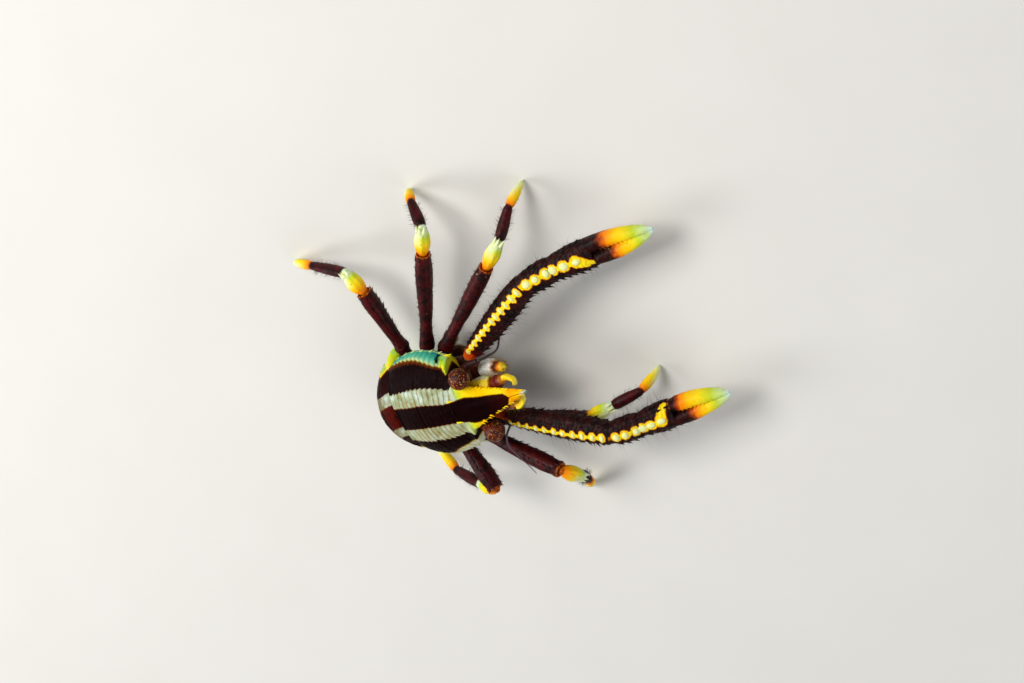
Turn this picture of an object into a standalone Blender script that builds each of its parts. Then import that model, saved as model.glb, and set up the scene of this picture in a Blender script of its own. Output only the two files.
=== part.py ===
"""Elegant squat lobster at life size, standing still on its six walking legs.

The model is built in the animal's own frame: X runs forward to the head, Y to its left and Z up
from the floor under its feet. Lengths are in millimetres until a mesh is made. At the end the
whole model is moved sideways so that the middle of its outline is at the origin.
"""
import math
import random

import bmesh
import bpy
from mathutils import Matrix, Vector

MM = 0.001
GAP = 0.3
UP = Vector((0.0, 0.0, 1.0))
AHEAD = (1.0, 0.0, 0.0)
SIDEWAYS = (0.0, 1.0, 0.0)
SPINE_SEED = 11

# Where the body stands: its frame starts at the middle of the carapace's rear margin
BODY_AT = Vector((1.35, 0.0, 4.85))
BODY_PITCH = math.radians(8.0)
SIDES = {"left": 1.0, "right": -1.0}

# Carapace
MARGIN_LEVEL = 0.0
CARAPACE_FLOOR = -1.0
FOLD_IN = 0.76
ARCH_POINTS = 13

# Distance from the rear margin, half-width and dorsal height of the carapace and the rostrum
CARAPACE_OUTLINE = (
    (0.35, 4.00, 2.30),
    (1.20, 4.65, 2.62),
    (2.30, 5.05, 2.90),
    (3.60, 5.25, 3.06),
    (5.00, 5.05, 3.05),
    (6.10, 4.64, 2.93),
    (6.40, 4.40, 2.88),
    (6.66, 4.34, 2.84),
    (7.00, 4.10, 2.77),
    (7.30, 3.49, 2.66),
)
ROSTRUM_OUTLINE = (
    (7.34, 2.40, 2.62),
    (8.00, 2.20, 2.45),
    (8.60, 1.92, 2.28),
    (10.0, 1.36, 1.94),
    (11.8, 0.74, 1.60),
    (13.5, 0.10, 1.34),
)
ROSTRUM_EDGE_DROP = 0.35
ROSTRUM_DEPTH = 0.85
ROSTRUM_THINNING = 0.45

# Ridges across the carapace: low steps that face forward and bow forward at the sides
RIDGE_PLACES = tuple(1.05 + 0.70 * i for i in range(8))
RIDGE_HEIGHT = 0.13
RIDGE_STEP = 0.16
RIDGE_BOW = 0.35

# Spines of the margins, on each side: place, heading outwards in degrees and length
MARGIN_SPINES = ((1.6, 50, 0.50), (2.5, 45, 0.60), (3.4, 40, 0.60), (4.3, 36, 0.65), (5.2, 32, 0.65),
                 (6.0, 26, 0.70), (6.62, 14, 0.75))
ROSTRUM_TEETH = ((8.5, 42, 0.42), (9.3, 36, 0.54), (10.1, 32, 0.50), (10.9, 28, 0.48), (11.6, 24, 0.44),
                 (12.3, 20, 0.40), (12.9, 16, 0.36))
BROW_SPINES = ((7.35, 1.95, 2.30, 10, 0.75), (6.75, 1.10, 2.72, 5, 0.60))
SPINE_RADIUS = 0.25
SPINE_SINK = 0.32

# Eyes
EYE_RADIUS = 0.98
EYE_AT = {"left": (8.58, 3.02, 2.42), "right": (8.94, 3.13, 1.61)}
EYESTALK_FROM = (7.60, 2.95, 1.55)
EYESTALK_RADIUS = 0.50

# Thorax, from the rear forward: place, half-width, top and bottom
THORAX_OUTLINE = (
    (0.85, 1.7, -1.30, -2.00),
    (1.80, 2.3, -1.30, -2.40),
    (5.00, 2.9, -1.30, -2.55),
    (7.30, 2.6, -1.30, -2.50),
    (7.65, 2.4, -1.30, -2.45),
    (7.70, 2.3, -0.80, -2.40),
    (8.30, 1.9, -0.80, -2.10),
)

# Abdomen, curled down and forward under the thorax
CURL_CENTRE = (0.05, -1.45)
CURL_RADIUS = 2.30
SOMITE_TURNS = (32.0, 54.0, 50.0, 44.0)
SOMITE_WIDTHS = (4.25, 4.35, 3.75, 3.40, 3.10, 2.80)
SOMITE_RISES = (1.12, 1.12, 0.95, 0.76, 0.64, 0.60)
SOMITE_SHIFTS = (-0.35, -0.55, -0.45, -0.30, -0.15, 0.0)
SOMITE_EDGES = (1.15, 1.20, 1.20, 1.10, 0.70, 0.65)
ARCH_POWER = 1.7
# Along a somite: how far, share of its width, and lift, with two low ridges that face backward
SOMITE_PROFILE = ((0.0, 0.95, -0.14), (0.34, 0.99, 0.0), (0.42, 1.0, -0.10), (0.72, 1.0, 0.0),
                  (0.80, 0.99, -0.10), (1.0, 0.93, -0.14))
LAST_SOMITE_LENGTHS = (1.60, 1.70)
# The flap on the left side of the first somite
FLAP_PATH = ((-0.30, 3.45, -0.02), (0.02, 4.05, -0.85), (0.10, 4.38, -1.60), (0.16, 4.34, -2.15))
FLAP_RADII = (0.26, 0.40, 0.44, 0.20)
TELSON_LENGTH = 2.40
TAIL_THICKNESS = 0.55

# Legs: where the short first articles start inside the thorax, on the left side, and where
# each leg's long first article begins
LEG_ROOTS = {
    "claw": (7.42, 2.75, -1.52),
    "leg2": (5.0, 2.5, -1.95),
    "leg3": (3.5, 2.7, -1.95),
    "leg4": (2.0, 2.2, -1.90),
}
LEG_BASES = {
    "claw_left": (7.80, 3.15, -1.45),
    "claw_right": (7.80, -3.15, -1.45),
    "leg2_left": (5.15, 3.85, -1.78),
    "leg2_right": (5.80, -3.55, -1.85),
    "leg3_left": (3.55, 4.25, -1.75),
    "leg3_right": (3.90, -4.00, -1.85),
    "leg4_left": (1.35, 4.70, -1.55),
    "leg4_right": (2.10, -3.70, -1.85),
}
STUB_RADIUS = 0.50
ARTICLE_SIDES = 8

# Heading and rise in degrees, and length, of each article from the body outwards. A walking
# leg's last article has no rise: it reaches down to the floor.
POSE = {
    "claw_left": ((33.9, 5.0, 10.25), (11.6, -12.1, 2.9), (5.4, -7.1, 4.05), (3.2, -4.9, 5.85)),
    "claw_right": ((-20.0, 7.4, 10.9), (-1.9, -12.7, 2.75), (3.4, -9.2, 3.3), (3.1, -5.2, 5.4)),
    "leg2_left": ((41.6, 3.7, 10.65), (42.6, -10.5, 2.75), (56.7, -27.5, 3.05), (42.2, 3.0)),
    "leg2_right": ((-18.2, -5.6, 9.5), (16.6, 7.2, 3.15), (8.4, -14.1, 2.9), (25.9, 3.1)),
    "leg3_left": ((64.3, 5.4, 10.6), (65.3, 2.2, 2.6), (119.0, -45.3, 2.85), (175.2, 2.95)),
    "leg3_right": ((-29.8, 19.6, 10.25), (-69.3, -41.7, 2.7), (-119.6, -49.6, 3.6), (-128.3, 3.4)),
    "leg4_left": ((94.4, 6.6, 6.9), (114.6, -7.5, 2.3), (169.2, -24.7, 4.3), (181.5, 3.7)),
    "leg4_right": ((-65.7, 22.1, 7.15), (172.6, -30.8, 2.15), (170.0, -38.8, 4.15), (140.1, 3.8)),
}

# Along an article: how far, half-width, half-depth and how far the middle bows outwards
MERUS = ((0.0, 0.60, 0.62, 0.0), (0.06, 0.68, 0.70, 0.0), (0.16, 0.56, 0.60, 0.0), (0.85, 0.74, 0.80, 0.0),
         (1.0, 0.60, 0.64, 0.0))
CARPUS = ((0.0, 0.46, 0.50, 0.0), (0.40, 0.66, 0.70, 0.12), (0.85, 0.58, 0.60, 0.06), (1.0, 0.46, 0.48, 0.0))
PROPODUS = ((0.0, 0.42, 0.44, 0.0), (0.20, 0.50, 0.52, 0.0), (0.80, 0.44, 0.46, 0.0), (1.0, 0.38, 0.40, 0.0))
DACTYL = ((0.0, 0.36, 0.38, 0.0), (0.30, 0.44, 0.48, 0.14), (0.70, 0.32, 0.36, 0.20), (1.0, 0.13, 0.13, 0.0))
CLAW_ARM = ((0.0, 0.60, 0.56, 0.0), (0.3, 0.98, 0.82, 0.0), (0.8, 1.18, 0.96, 0.0), (1.0, 1.06, 0.88, 0.0))
CLAW_WRIST = ((0.0, 1.00, 0.84, 0.0), (0.45, 1.16, 0.94, 0.05), (0.85, 1.16, 0.92, 0.0),
              (1.0, 1.08, 0.86, 0.0))
PALM = ((0.0, 1.06, 0.84, 0.0), (0.35, 1.26, 0.96, 0.0), (0.85, 1.34, 0.96, 0.0), (1.0, 1.24, 0.84, 0.0))
FINGER = ((0.0, 0.56, 0.76, 0.0), (0.3, 0.64, 0.76, 0.0), (0.7, 0.50, 0.60, 0.0), (1.0, 0.16, 0.20, 0.0))
FINGER_SPREAD = 0.78
FINGER_MEET = 0.22
FINGER_SINK = 0.8

# Rows of spines along an article: angle round it (0 in front, 90 above, 180 behind), first and
# last place, how many, and length
SPINE_ROWS = {
    "merus": ((72, 0.16, 0.93, 8, 0.60), (-62, 0.45, 0.92, 4, 0.48)),
    "carpus": ((78, 0.25, 0.84, 3, 0.55),),
    "propodus": ((-80, 0.25, 0.82, 3, 0.36),),
    "arm": ((90, 0.27, 0.94, 7, 0.62), (18, 0.22, 0.93, 7, 0.66), (162, 0.22, 0.93, 7, 0.62)),
    "wrist": ((90, 0.30, 0.80, 2, 0.58), (14, 0.22, 0.84, 3, 0.72), (166, 0.22, 0.84, 3, 0.62)),
    "palm": ((90, 0.20, 0.82, 3, 0.52), (10, 0.15, 0.86, 4, 0.64), (170, 0.15, 0.90, 4, 0.56)),
}
SPINE_LEAN = 50.0

# Feelers and mouth limbs, as paths of centres on the left side in the body's frame
ANTENNULE_PATH = ((7.66, 1.08, 0.35), (9.1, 1.05, 0.58), (10.3, 1.00, 0.50), (11.3, 1.25, 0.50),
                  (11.9, 1.42, 0.50), (12.4, 0.80, 0.44))
ANTENNULE_RADII = (0.36, 0.62, 0.50, 0.34, 0.28, 0.14)
ANTENNA_PATH = ((7.66, 2.75, 0.05), (8.5, 3.05, 0.12), (9.5, 3.30, 0.22))
ANTENNA_RADII = (0.30, 0.34, 0.27)
MOUTH_PATH = ((8.60, 1.35, -1.45), (8.98, 1.60, -1.22), (9.75, 1.78, -1.05), (10.40, 1.92, -0.80),
              (11.0, 1.90, -0.62), (11.5, 1.86, -0.58))
MOUTH_RADII = (0.45, 0.66, 0.62, 0.44, 0.40, 0.18)
FIFTH_LEG_PATH = ((0.98, 2.12, -1.65), (0.84, 2.80, -1.68), (0.76, 3.35, -1.50), (0.76, 3.72, -1.20))
FIFTH_LEG_RADII = (0.32, 0.32, 0.28, 0.25)
FLAGELLUM_PATHS = {
    "left": ((9.80, 3.36, 0.28), (10.3, 3.22, -0.60), (10.6, 3.15, -1.90), (11.0, 4.50, -2.95),
             (11.9, 5.75, -3.10), (13.0, 6.60, -3.15), (14.6, 7.65, -3.20), (16.4, 8.85, -3.30),
             (18.2, 9.30, -4.02), (20.0, 9.60, -4.55), (21.2, 9.70, -4.85)),
    "right": ((9.82, -3.50, 0.36), (9.35, -4.15, 0.80), (9.08, -5.04, 0.92), (9.29, -6.07, 0.86),
              (9.45, -7.40, 0.35), (9.35, -9.30, -0.55)),
}
FLAGELLUM_RADIUS = 0.26

COLOURS = {
    "carapace": (0.10, 0.02, 0.03),
    "thorax": (0.35, 0.16, 0.10),
    "abdomen": (0.09, 0.02, 0.03),
    "tail": (0.45, 0.30, 0.08),
    "eye": (0.12, 0.03, 0.02),
    "feeler": (0.30, 0.08, 0.05),
    "mouth": (0.60, 0.50, 0.40),
    "claw": (0.11, 0.02, 0.02),
    "finger": (0.75, 0.35, 0.03),
    "leg": (0.13, 0.02, 0.02),
    "leg_joint": (0.75, 0.60, 0.10),
}
SHELL_ROUGHNESS = 0.38


def clear_scene():
    for item in list(bpy.data.objects):
        bpy.data.objects.remove(item, do_unlink=True)


def new_collection(name):
    collection = bpy.data.collections.new(name)
    bpy.context.scene.collection.children.link(collection)
    return collection


def make_material(name, colour_name):
    material = bpy.data.materials.new(name)
    material.use_nodes = True
    shader = material.node_tree.nodes["Principled BSDF"]
    shader.inputs["Base Color"].default_value = (*COLOURS[colour_name], 1.0)
    shader.inputs["Roughness"].default_value = SHELL_ROUGHNESS
    shader.inputs["Metallic"].default_value = 0.0
    return material


def body_point(x, y, z):
    """A place in the body's frame, as a place above the floor."""
    return BODY_AT + Matrix.Rotation(-BODY_PITCH, 3, "Y") @ Vector((x, y, z))


def body_points(points, side=1.0):
    return [body_point(x, y * side, z) for x, y, z in points]


def heading_vector(heading, rise):
    turn = math.radians(heading)
    lift = math.radians(rise)
    return Vector((math.cos(lift) * math.cos(turn), math.cos(lift) * math.sin(turn), math.sin(lift)))


def loft(rings):
    """A closed solid through rings of equally many points, in millimetres."""
    bm = bmesh.new()
    rows = [[bm.verts.new(point * MM) for point in ring] for ring in rings]
    count = len(rings[0])
    for row, following in zip(rows, rows[1:]):
        for i in range(count):
            j = (i + 1) % count
            bm.faces.new((row[i], row[j], following[j]))
            bm.faces.new((row[i], following[j], following[i]))
    bm.faces.new(reversed(rows[0]))
    bm.faces.new(rows[-1])
    bmesh.ops.recalc_face_normals(bm, faces=bm.faces)
    return bm


def add_object(name, bm, collection, colour_name):
    mesh = bpy.data.meshes.new(name)
    bm.to_mesh(mesh)
    bm.free()
    mesh.materials.append(make_material(name, colour_name))
    mesh.shade_smooth()
    mesh.set_sharp_from_angle(angle=math.radians(40.0))
    item = bpy.data.objects.new(name, mesh)
    collection.objects.link(item)
    return item


def keep_largest(bm):
    """Leaves only the largest closed surface of a mesh."""
    bm.faces.ensure_lookup_table()
    unseen = set(bm.faces)
    islands = []
    while unseen:
        island = set()
        edge_of_search = [unseen.pop()]
        while edge_of_search:
            face = edge_of_search.pop()
            island.add(face)
            for edge in face.edges:
                for other in edge.link_faces:
                    if other in unseen:
                        unseen.remove(other)
                        edge_of_search.append(other)
        islands.append(island)
    islands.sort(key=len)
    for island in islands[:-1]:
        bmesh.ops.delete(bm, geom=list(island), context="FACES")


def fuse(base, pieces):
    """Joins closed pieces to a node's object with one union and removes the pieces."""
    cutters = new_collection("pieces_of_" + base.name)
    for number, bm in enumerate(pieces):
        mesh = bpy.data.meshes.new("piece")
        bm.to_mesh(mesh)
        bm.free()
        item = bpy.data.objects.new(base.name + "_piece" + str(number), mesh)
        item.hide_render = True
        item.display_type = "WIRE"
        cutters.objects.link(item)
    union = base.modifiers.new("union", "BOOLEAN")
    union.operation = "UNION"
    union.operand_type = "COLLECTION"
    union.collection = cutters
    union.solver = "EXACT"
    bpy.context.view_layer.update()
    evaluated = base.evaluated_get(bpy.context.evaluated_depsgraph_get())
    mesh = bpy.data.meshes.new_from_object(evaluated)
    base.modifiers.remove(union)
    base.data = mesh
    for item in list(cutters.objects):
        bpy.data.objects.remove(item, do_unlink=True)
    bpy.data.collections.remove(cutters)
    bm = bmesh.new()
    bm.from_mesh(mesh)
    keep_largest(bm)
    bm.to_mesh(mesh)
    bm.free()


def spine(root, direction, length, radius=SPINE_RADIUS, sink=SPINE_SINK):
    """A five-sided cone that starts below a surface and stands out of it by its length."""
    bm = bmesh.new()
    height = length + sink
    bmesh.ops.create_cone(bm, cap_ends=True, cap_tris=False, segments=5, radius1=radius * MM,
                          radius2=radius * 0.1 * MM, depth=height * MM)
    turn = UP.rotation_difference(direction).to_matrix().to_4x4()
    middle = root + direction * (height / 2 - sink)
    bmesh.ops.transform(bm, matrix=Matrix.Translation(middle * MM) @ turn, verts=bm.verts)
    return bm


def slide_to_plane(ring, direction, point, normal):
    """Moves a ring's points along an article until they lie in a plane."""
    reach = direction.dot(normal)
    return [place + direction * ((point - place).dot(normal) / reach) for place in ring]


def interpolate(table, place):
    """The values that a table gives at a place between its rows."""
    for row, following in zip(table, table[1:]):
        if place <= following[0]:
            break
    share = (place - row[0]) / (following[0] - row[0])
    return [low + (high - low) * share for low, high in zip(row[1:], following[1:])]


class Article:
    """One article of a limb: a tapered length from a joint along a direction."""

    def __init__(self, start, direction, side, length, profile):
        self.start = start
        self.direction = direction
        self.side = side
        self.above = direction.cross(side).normalized()
        self.length = length
        self.profile = profile

    def ring(self, fraction, half_width, half_depth, bow):
        centre = self.start + self.direction * (self.length * fraction) + self.above * bow
        ring = []
        for i in range(ARTICLE_SIDES):
            angle = 2.0 * math.pi * (i + 0.5) / ARTICLE_SIDES
            ring.append(centre + self.side * (half_width * math.cos(angle))
                        + self.above * (half_depth * math.sin(angle)))
        return ring

    def rings(self):
        return [self.ring(*row) for row in self.profile]

    def spine_row(self, rng, outward, angle, first, last, count, length):
        """Spines in a row, leaning forward. On the left side the angle is mirrored."""
        turn = math.radians(angle if outward < 0 else 180.0 - angle)
        lean = math.radians(SPINE_LEAN)
        spines = []
        for i in range(count):
            fraction = first + (last - first) * i / (count - 1) + rng.uniform(-0.01, 0.01)
            half_width, half_depth, bow = interpolate(self.profile, fraction)
            centre = self.start + self.direction * (self.length * fraction) + self.above * bow
            root = centre + self.side * (half_width * math.cos(turn))
            root += self.above * (half_depth * math.sin(turn))
            away = (self.side * math.cos(turn) + self.above * math.sin(turn)).normalized()
            pointing = away * math.cos(lean) + self.direction * math.sin(lean)
            spines.append(spine(root, pointing, length * rng.uniform(0.88, 1.12)))
        return spines


def path_rings(points, radii, count=8):
    """Rings across a bent path, each in the plane that halves the bend."""
    rings = []
    side = None
    for i, point in enumerate(points):
        before = points[i] - points[i - 1] if i > 0 else points[1] - points[0]
        after = points[i + 1] - points[i] if i < len(points) - 1 else before
        along = (before.normalized() + after.normalized()).normalized()
        if side is None:
            side = UP.cross(along).normalized()
        side = (side - along * side.dot(along)).normalized()
        above = along.cross(side)
        ring = []
        for k in range(count):
            angle = 2.0 * math.pi * (k + 0.5) / count
            ring.append(point + side * (radii[i] * math.cos(angle)) + above * (radii[i] * math.sin(angle)))
        rings.append(ring)
    return rings


def shell_section(x, half_width, top, edge, floor, bow=0.0):
    """One cross-section of the carapace or rostrum: an arch over a folded-in underside."""
    ring = []
    for i in range(ARCH_POINTS):
        angle = math.pi * i / (ARCH_POINTS - 1)
        forward = x + bow * math.cos(angle) ** 2 * math.sin(angle)
        height = edge + (top - edge) * math.sin(angle) ** 0.85
        ring.append(body_point(forward, half_width * math.cos(angle), height))
    for share in (-FOLD_IN, 0.0, FOLD_IN):
        ring.append(body_point(x, half_width * share, floor))
    return ring


def margin_spine(rng, x, half_width, height, heading, length):
    """A pair of spines, one on each side, that point forward and outward."""
    pair = []
    for side in SIDES.values():
        pointing = body_point(*heading_vector(heading * side, 8.0)) - BODY_AT
        pair.append(spine(body_point(x, half_width * side, height), pointing, length * rng.uniform(0.9, 1.1)))
    return pair


def carapace_rings():
    places = [(CARAPACE_OUTLINE[0][0], -RIDGE_HEIGHT, 0.0)]
    for x in RIDGE_PLACES:
        places.append((x, 0.0, RIDGE_BOW))
        places.append((x + RIDGE_STEP, -RIDGE_HEIGHT, RIDGE_BOW))
    reach = places[-1][0] + RIDGE_BOW
    places += [(row[0], 0.0, 0.0) for row in CARAPACE_OUTLINE if row[0] > reach]
    rings = []
    for x, lift, bow in places:
        half_width, top = interpolate(CARAPACE_OUTLINE, x)
        rings.append(shell_section(x, half_width, top + lift, MARGIN_LEVEL, CARAPACE_FLOOR, bow))
    return rings


def build_carapace(collection):
    rng = random.Random(SPINE_SEED)
    rings = carapace_rings()
    root, tip = ROSTRUM_OUTLINE[0][0], ROSTRUM_OUTLINE[-1][0]
    for x, width, top in ROSTRUM_OUTLINE:
        depth = ROSTRUM_DEPTH * (1.0 - ROSTRUM_THINNING * (x - root) / (tip - root))
        rings.append(shell_section(x, width, top, top - ROSTRUM_EDGE_DROP, top - depth))
    carapace = add_object("carapace", loft(rings), collection, "carapace")
    spines = []
    for x, heading, length in MARGIN_SPINES:
        half_width = interpolate(CARAPACE_OUTLINE, x)[0]
        spines += margin_spine(rng, x, half_width * 0.985, MARGIN_LEVEL + 0.12, heading, length)
    for x, heading, length in ROSTRUM_TEETH:
        half_width, top = interpolate(ROSTRUM_OUTLINE, x)
        spines += margin_spine(rng, x, half_width * 0.95, top - ROSTRUM_EDGE_DROP * 0.8, heading, length)
    for x, half_width, height, heading, length in BROW_SPINES:
        spines += margin_spine(rng, x, half_width, height, heading, length)
    fuse(carapace, spines)


def build_eye(side_name, collection):
    side = SIDES[side_name]
    x, y, z = EYE_AT[side_name]
    ball = bmesh.new()
    bmesh.ops.create_uvsphere(ball, u_segments=12, v_segments=8, radius=EYE_RADIUS * MM)
    bmesh.ops.translate(ball, verts=ball.verts, vec=body_point(x, y * side, z) * MM)
    eye = add_object("eye_" + side_name, ball, collection, "eye")
    foot_x, foot_y, foot_z = EYESTALK_FROM
    foot = body_point(foot_x, foot_y * side, foot_z)
    centre = body_point(x, y * side, z)
    rings = path_rings([foot, centre], (EYESTALK_RADIUS, EYESTALK_RADIUS * 1.1))
    rings[0] = slide_to_plane(rings[0], (centre - foot).normalized(), foot, body_point(*AHEAD) - BODY_AT)
    fuse(eye, [loft(rings)])


def build_limb(name, points, radii, facing, side, collection, colour_name):
    """A limb along a path, whose root is flat against a face that looks one way in the body's frame."""
    places = body_points(points, side)
    rings = path_rings(places, radii)
    first = (places[1] - places[0]).normalized()
    rings[0] = slide_to_plane(rings[0], first, places[0], body_point(*facing) - BODY_AT)
    add_object(name, loft(rings), collection, colour_name)


def smooth_path(points, steps):
    """A smooth curve through points, by Catmull-Rom spans."""
    padded = [points[0] * 2 - points[1]] + list(points) + [points[-1] * 2 - points[-2]]
    result = []
    for i in range(1, len(padded) - 2):
        for step in range(steps):
            t = step / steps
            before, here, after, beyond = padded[i - 1:i + 3]
            slope = after - before
            bend = 2 * before - 5 * here + 4 * after - beyond
            turn = 3 * here - before - 3 * after + beyond
            result.append(0.5 * (2 * here + slope * t + bend * t ** 2 + turn * t ** 3))
    result.append(padded[-2])
    return result


def build_flagellum(side_name, collection):
    places = smooth_path(body_points(FLAGELLUM_PATHS[side_name]), 3)
    last = len(places) - 1
    radii = [FLAGELLUM_RADIUS * (1.0 - 0.35 * i / last) for i in range(last + 1)]
    add_object("flagellum_" + side_name, loft(path_rings(places, radii, count=6)), collection, "feeler")


def curl_frame(travel):
    """Centre, direction of travel and outward direction at a distance along the abdomen's curl."""
    curl = math.radians(sum(SOMITE_TURNS)) * CURL_RADIUS
    turn = min(travel, curl) / CURL_RADIUS
    outward = (-math.sin(turn), math.cos(turn))
    along = (-math.cos(turn), -math.sin(turn))
    beyond = max(travel - curl, 0.0)
    centre = tuple(CURL_CENTRE[k] + outward[k] * CURL_RADIUS + along[k] * beyond for k in (0, 1))
    return centre, along, outward


def somite_ring(travel, shift, half_width, rise, edge, sideways):
    """A cross-section of the abdomen, moved by a small shift along the curl and sideways."""
    centre, along, outward = curl_frame(travel)
    ring = []
    for i in range(11):
        angle = math.pi * i / 10
        height = -edge + (edge + rise) * math.sin(angle) ** ARCH_POWER
        ring.append((half_width * math.cos(angle), height))
    for share in (-0.72, 0.0, 0.72):
        ring.append((half_width * share, -edge if share else -0.60))
    return [body_point(centre[0] + along[0] * shift + outward[0] * n, y + sideways,
                       centre[1] + along[1] * shift + outward[1] * n) for y, n in ring]


def build_abdomen(collection):
    lengths = [math.radians(turn) * CURL_RADIUS for turn in SOMITE_TURNS] + list(LAST_SOMITE_LENGTHS)
    start = 0.0
    for number, length in enumerate(lengths):
        width, rise, edge = SOMITE_WIDTHS[number], SOMITE_RISES[number], SOMITE_EDGES[number]
        sideways = SOMITE_SHIFTS[number]
        rings = []
        for fraction, narrowing, lift in SOMITE_PROFILE:
            shift = GAP / 2 * (1.0 - 2.0 * fraction)
            travel = start + length * fraction
            rings.append(somite_ring(travel, shift, width * narrowing, rise + lift, edge, sideways))
        somite = add_object("abdomen_" + str(number + 1), loft(rings), collection, "abdomen")
        if number == 0:
            flaps = [path_rings(body_points(FLAP_PATH, side), FLAP_RADII) for side in SIDES.values()]
            fuse(somite, [loft(flap) for flap in flaps])
        start += length


def plate(outline, level, thickness):
    """A flat plate in the body's frame from its outline's x and y."""
    lower = [body_point(x, y, level - thickness / 2) for x, y in outline]
    upper = [body_point(x, y, level + thickness / 2) for x, y in outline]
    return loft([lower, upper])


def build_tail(collection):
    level = CURL_CENTRE[1] - CURL_RADIUS
    root = CURL_CENTRE[0] + sum(LAST_SOMITE_LENGTHS) + GAP / 2
    tip = root + TELSON_LENGTH
    telson = [(root, -1.55), (root, 1.55), (tip - 0.7, 1.35), (tip, 0.7), (tip, -0.7), (tip - 0.7, -1.35)]
    add_object("telson", plate(telson, level, TAIL_THICKNESS), collection, "tail")
    for side_name, side in SIDES.items():
        inner = [(root, 1.86), (root, 2.35), (tip - 0.9, 3.05), (tip - 0.1, 2.7), (tip + 0.1, 2.1),
                 (tip - 0.5, 1.74)]
        outer = [(root, 2.68), (root + 0.05, 3.4), (root + 1.0, 4.45), (tip - 0.9, 4.6), (tip - 0.4, 3.9),
                 (tip - 0.95, 3.42)]
        for word, outline in (("inner", inner), ("outer", outer)):
            points = [(x, y * side) for x, y in outline]
            name = "uropod_" + word + "_" + side_name
            add_object(name, plate(points, level, TAIL_THICKNESS), collection, "tail")


def thorax_section(x, half_width, top, bottom):
    shape = ((0.75, top), (1.0, top - 0.25), (1.0, bottom + 0.35), (0.7, bottom))
    right = [(half_width * share, z) for share, z in shape]
    left = [(-y, z) for y, z in reversed(right)]
    return [body_point(x, y, z) for y, z in right + left]


def build_thorax(collection):
    rings = [thorax_section(*station) for station in THORAX_OUTLINE]
    thorax = add_object("thorax", loft(rings), collection, "thorax")
    stubs = []
    for leg, (x, y, z) in LEG_ROOTS.items():
        for side_name, side in SIDES.items():
            joints, directions, root = leg_joints(leg, side_name)
            rings = path_rings([body_point(x, y * side, z), joints[0]], (STUB_RADIUS, STUB_RADIUS))
            normal = (root + directions[0]).normalized()
            rings[1] = slide_to_plane(rings[1], root, joints[0] - normal * (GAP / 2), normal)
            stubs.append(loft(rings))
    fuse(thorax, stubs)


def leg_joints(leg, side_name):
    """The joints of a leg from its base to its tip, each article's direction, and the stub's."""
    x, y, z = LEG_ROOTS[leg]
    joints = [body_point(*LEG_BASES[leg + "_" + side_name])]
    root = (joints[0] - body_point(x, y * SIDES[side_name], z)).normalized()
    directions = []
    for entry in POSE[leg + "_" + side_name]:
        if len(entry) == 3:
            heading, rise, length = entry
        else:
            heading, length = entry
            rise = -math.degrees(math.asin(joints[-1].z / length))
        directions.append(heading_vector(heading, rise))
        joints.append(joints[-1] + directions[-1] * length)
    return joints, directions, root


def article_at(joints, directions, number, side, profile):
    length = (joints[number + 1] - joints[number]).length
    return Article(joints[number], directions[number], side, length, profile)


def mitred_rings(piece, joints, directions, root, number, floor=False):
    """An article's rings between the planes that halve the bends at its two ends."""
    direction = directions[number]
    rings = piece.rings()
    before = directions[number - 1] if number else root
    normal = (before + direction).normalized()
    rings[0] = slide_to_plane(rings[0], direction, joints[number] + normal * (GAP / 2), normal)
    if floor:
        rings[-1] = slide_to_plane(rings[-1], direction, joints[number + 1], UP)
    elif number + 1 < len(directions):
        normal = (direction + directions[number + 1]).normalized()
        rings[-1] = slide_to_plane(rings[-1], direction, joints[number + 1] - normal * (GAP / 2), normal)
    return rings


def carry_side(side, direction):
    return (side - direction * side.dot(direction)).normalized()


def spines_of(piece, word, rng, outward):
    return [item for row in SPINE_ROWS.get(word, ()) for item in piece.spine_row(rng, outward, *row)]


def build_walking_leg(leg, side_name, collection):
    rng = random.Random(SPINE_SEED + int(leg[-1]))
    joints, directions, root = leg_joints(leg, side_name)
    side = UP.cross(directions[0]).normalized()
    shapes = (("merus", MERUS, "leg"), ("carpus", CARPUS, "leg_joint"),
              ("propodus", PROPODUS, "leg"), ("dactyl", DACTYL, "leg_joint"))
    for number, (word, profile, colour_name) in enumerate(shapes):
        side = carry_side(side, directions[number])
        piece = article_at(joints, directions, number, side, profile)
        rings = mitred_rings(piece, joints, directions, root, number, floor=(word == "dactyl"))
        item = add_object(leg + "_" + side_name + "_" + word, loft(rings), collection, colour_name)
        if word in SPINE_ROWS:
            fuse(item, spines_of(piece, word, rng, SIDES[side_name]))


def finger_profile(sideways):
    """Places along a finger with its half-sizes and how far its middle lies to one side."""
    rows = []
    for fraction, half_width, half_depth, bow in FINGER:
        spread = FINGER_SPREAD + (FINGER_MEET - FINGER_SPREAD) * fraction ** 3
        rows.append((fraction, half_width, half_depth, sideways * spread))
    return rows


def finger_rings(start, direction, side, length, sideways):
    piece = Article(start, direction, side, length, FINGER)
    rings = []
    for fraction, half_width, half_depth, offset in finger_profile(sideways):
        rings.append([point + side * offset for point in piece.ring(fraction, half_width, half_depth, 0.0)])
    return rings


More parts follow.
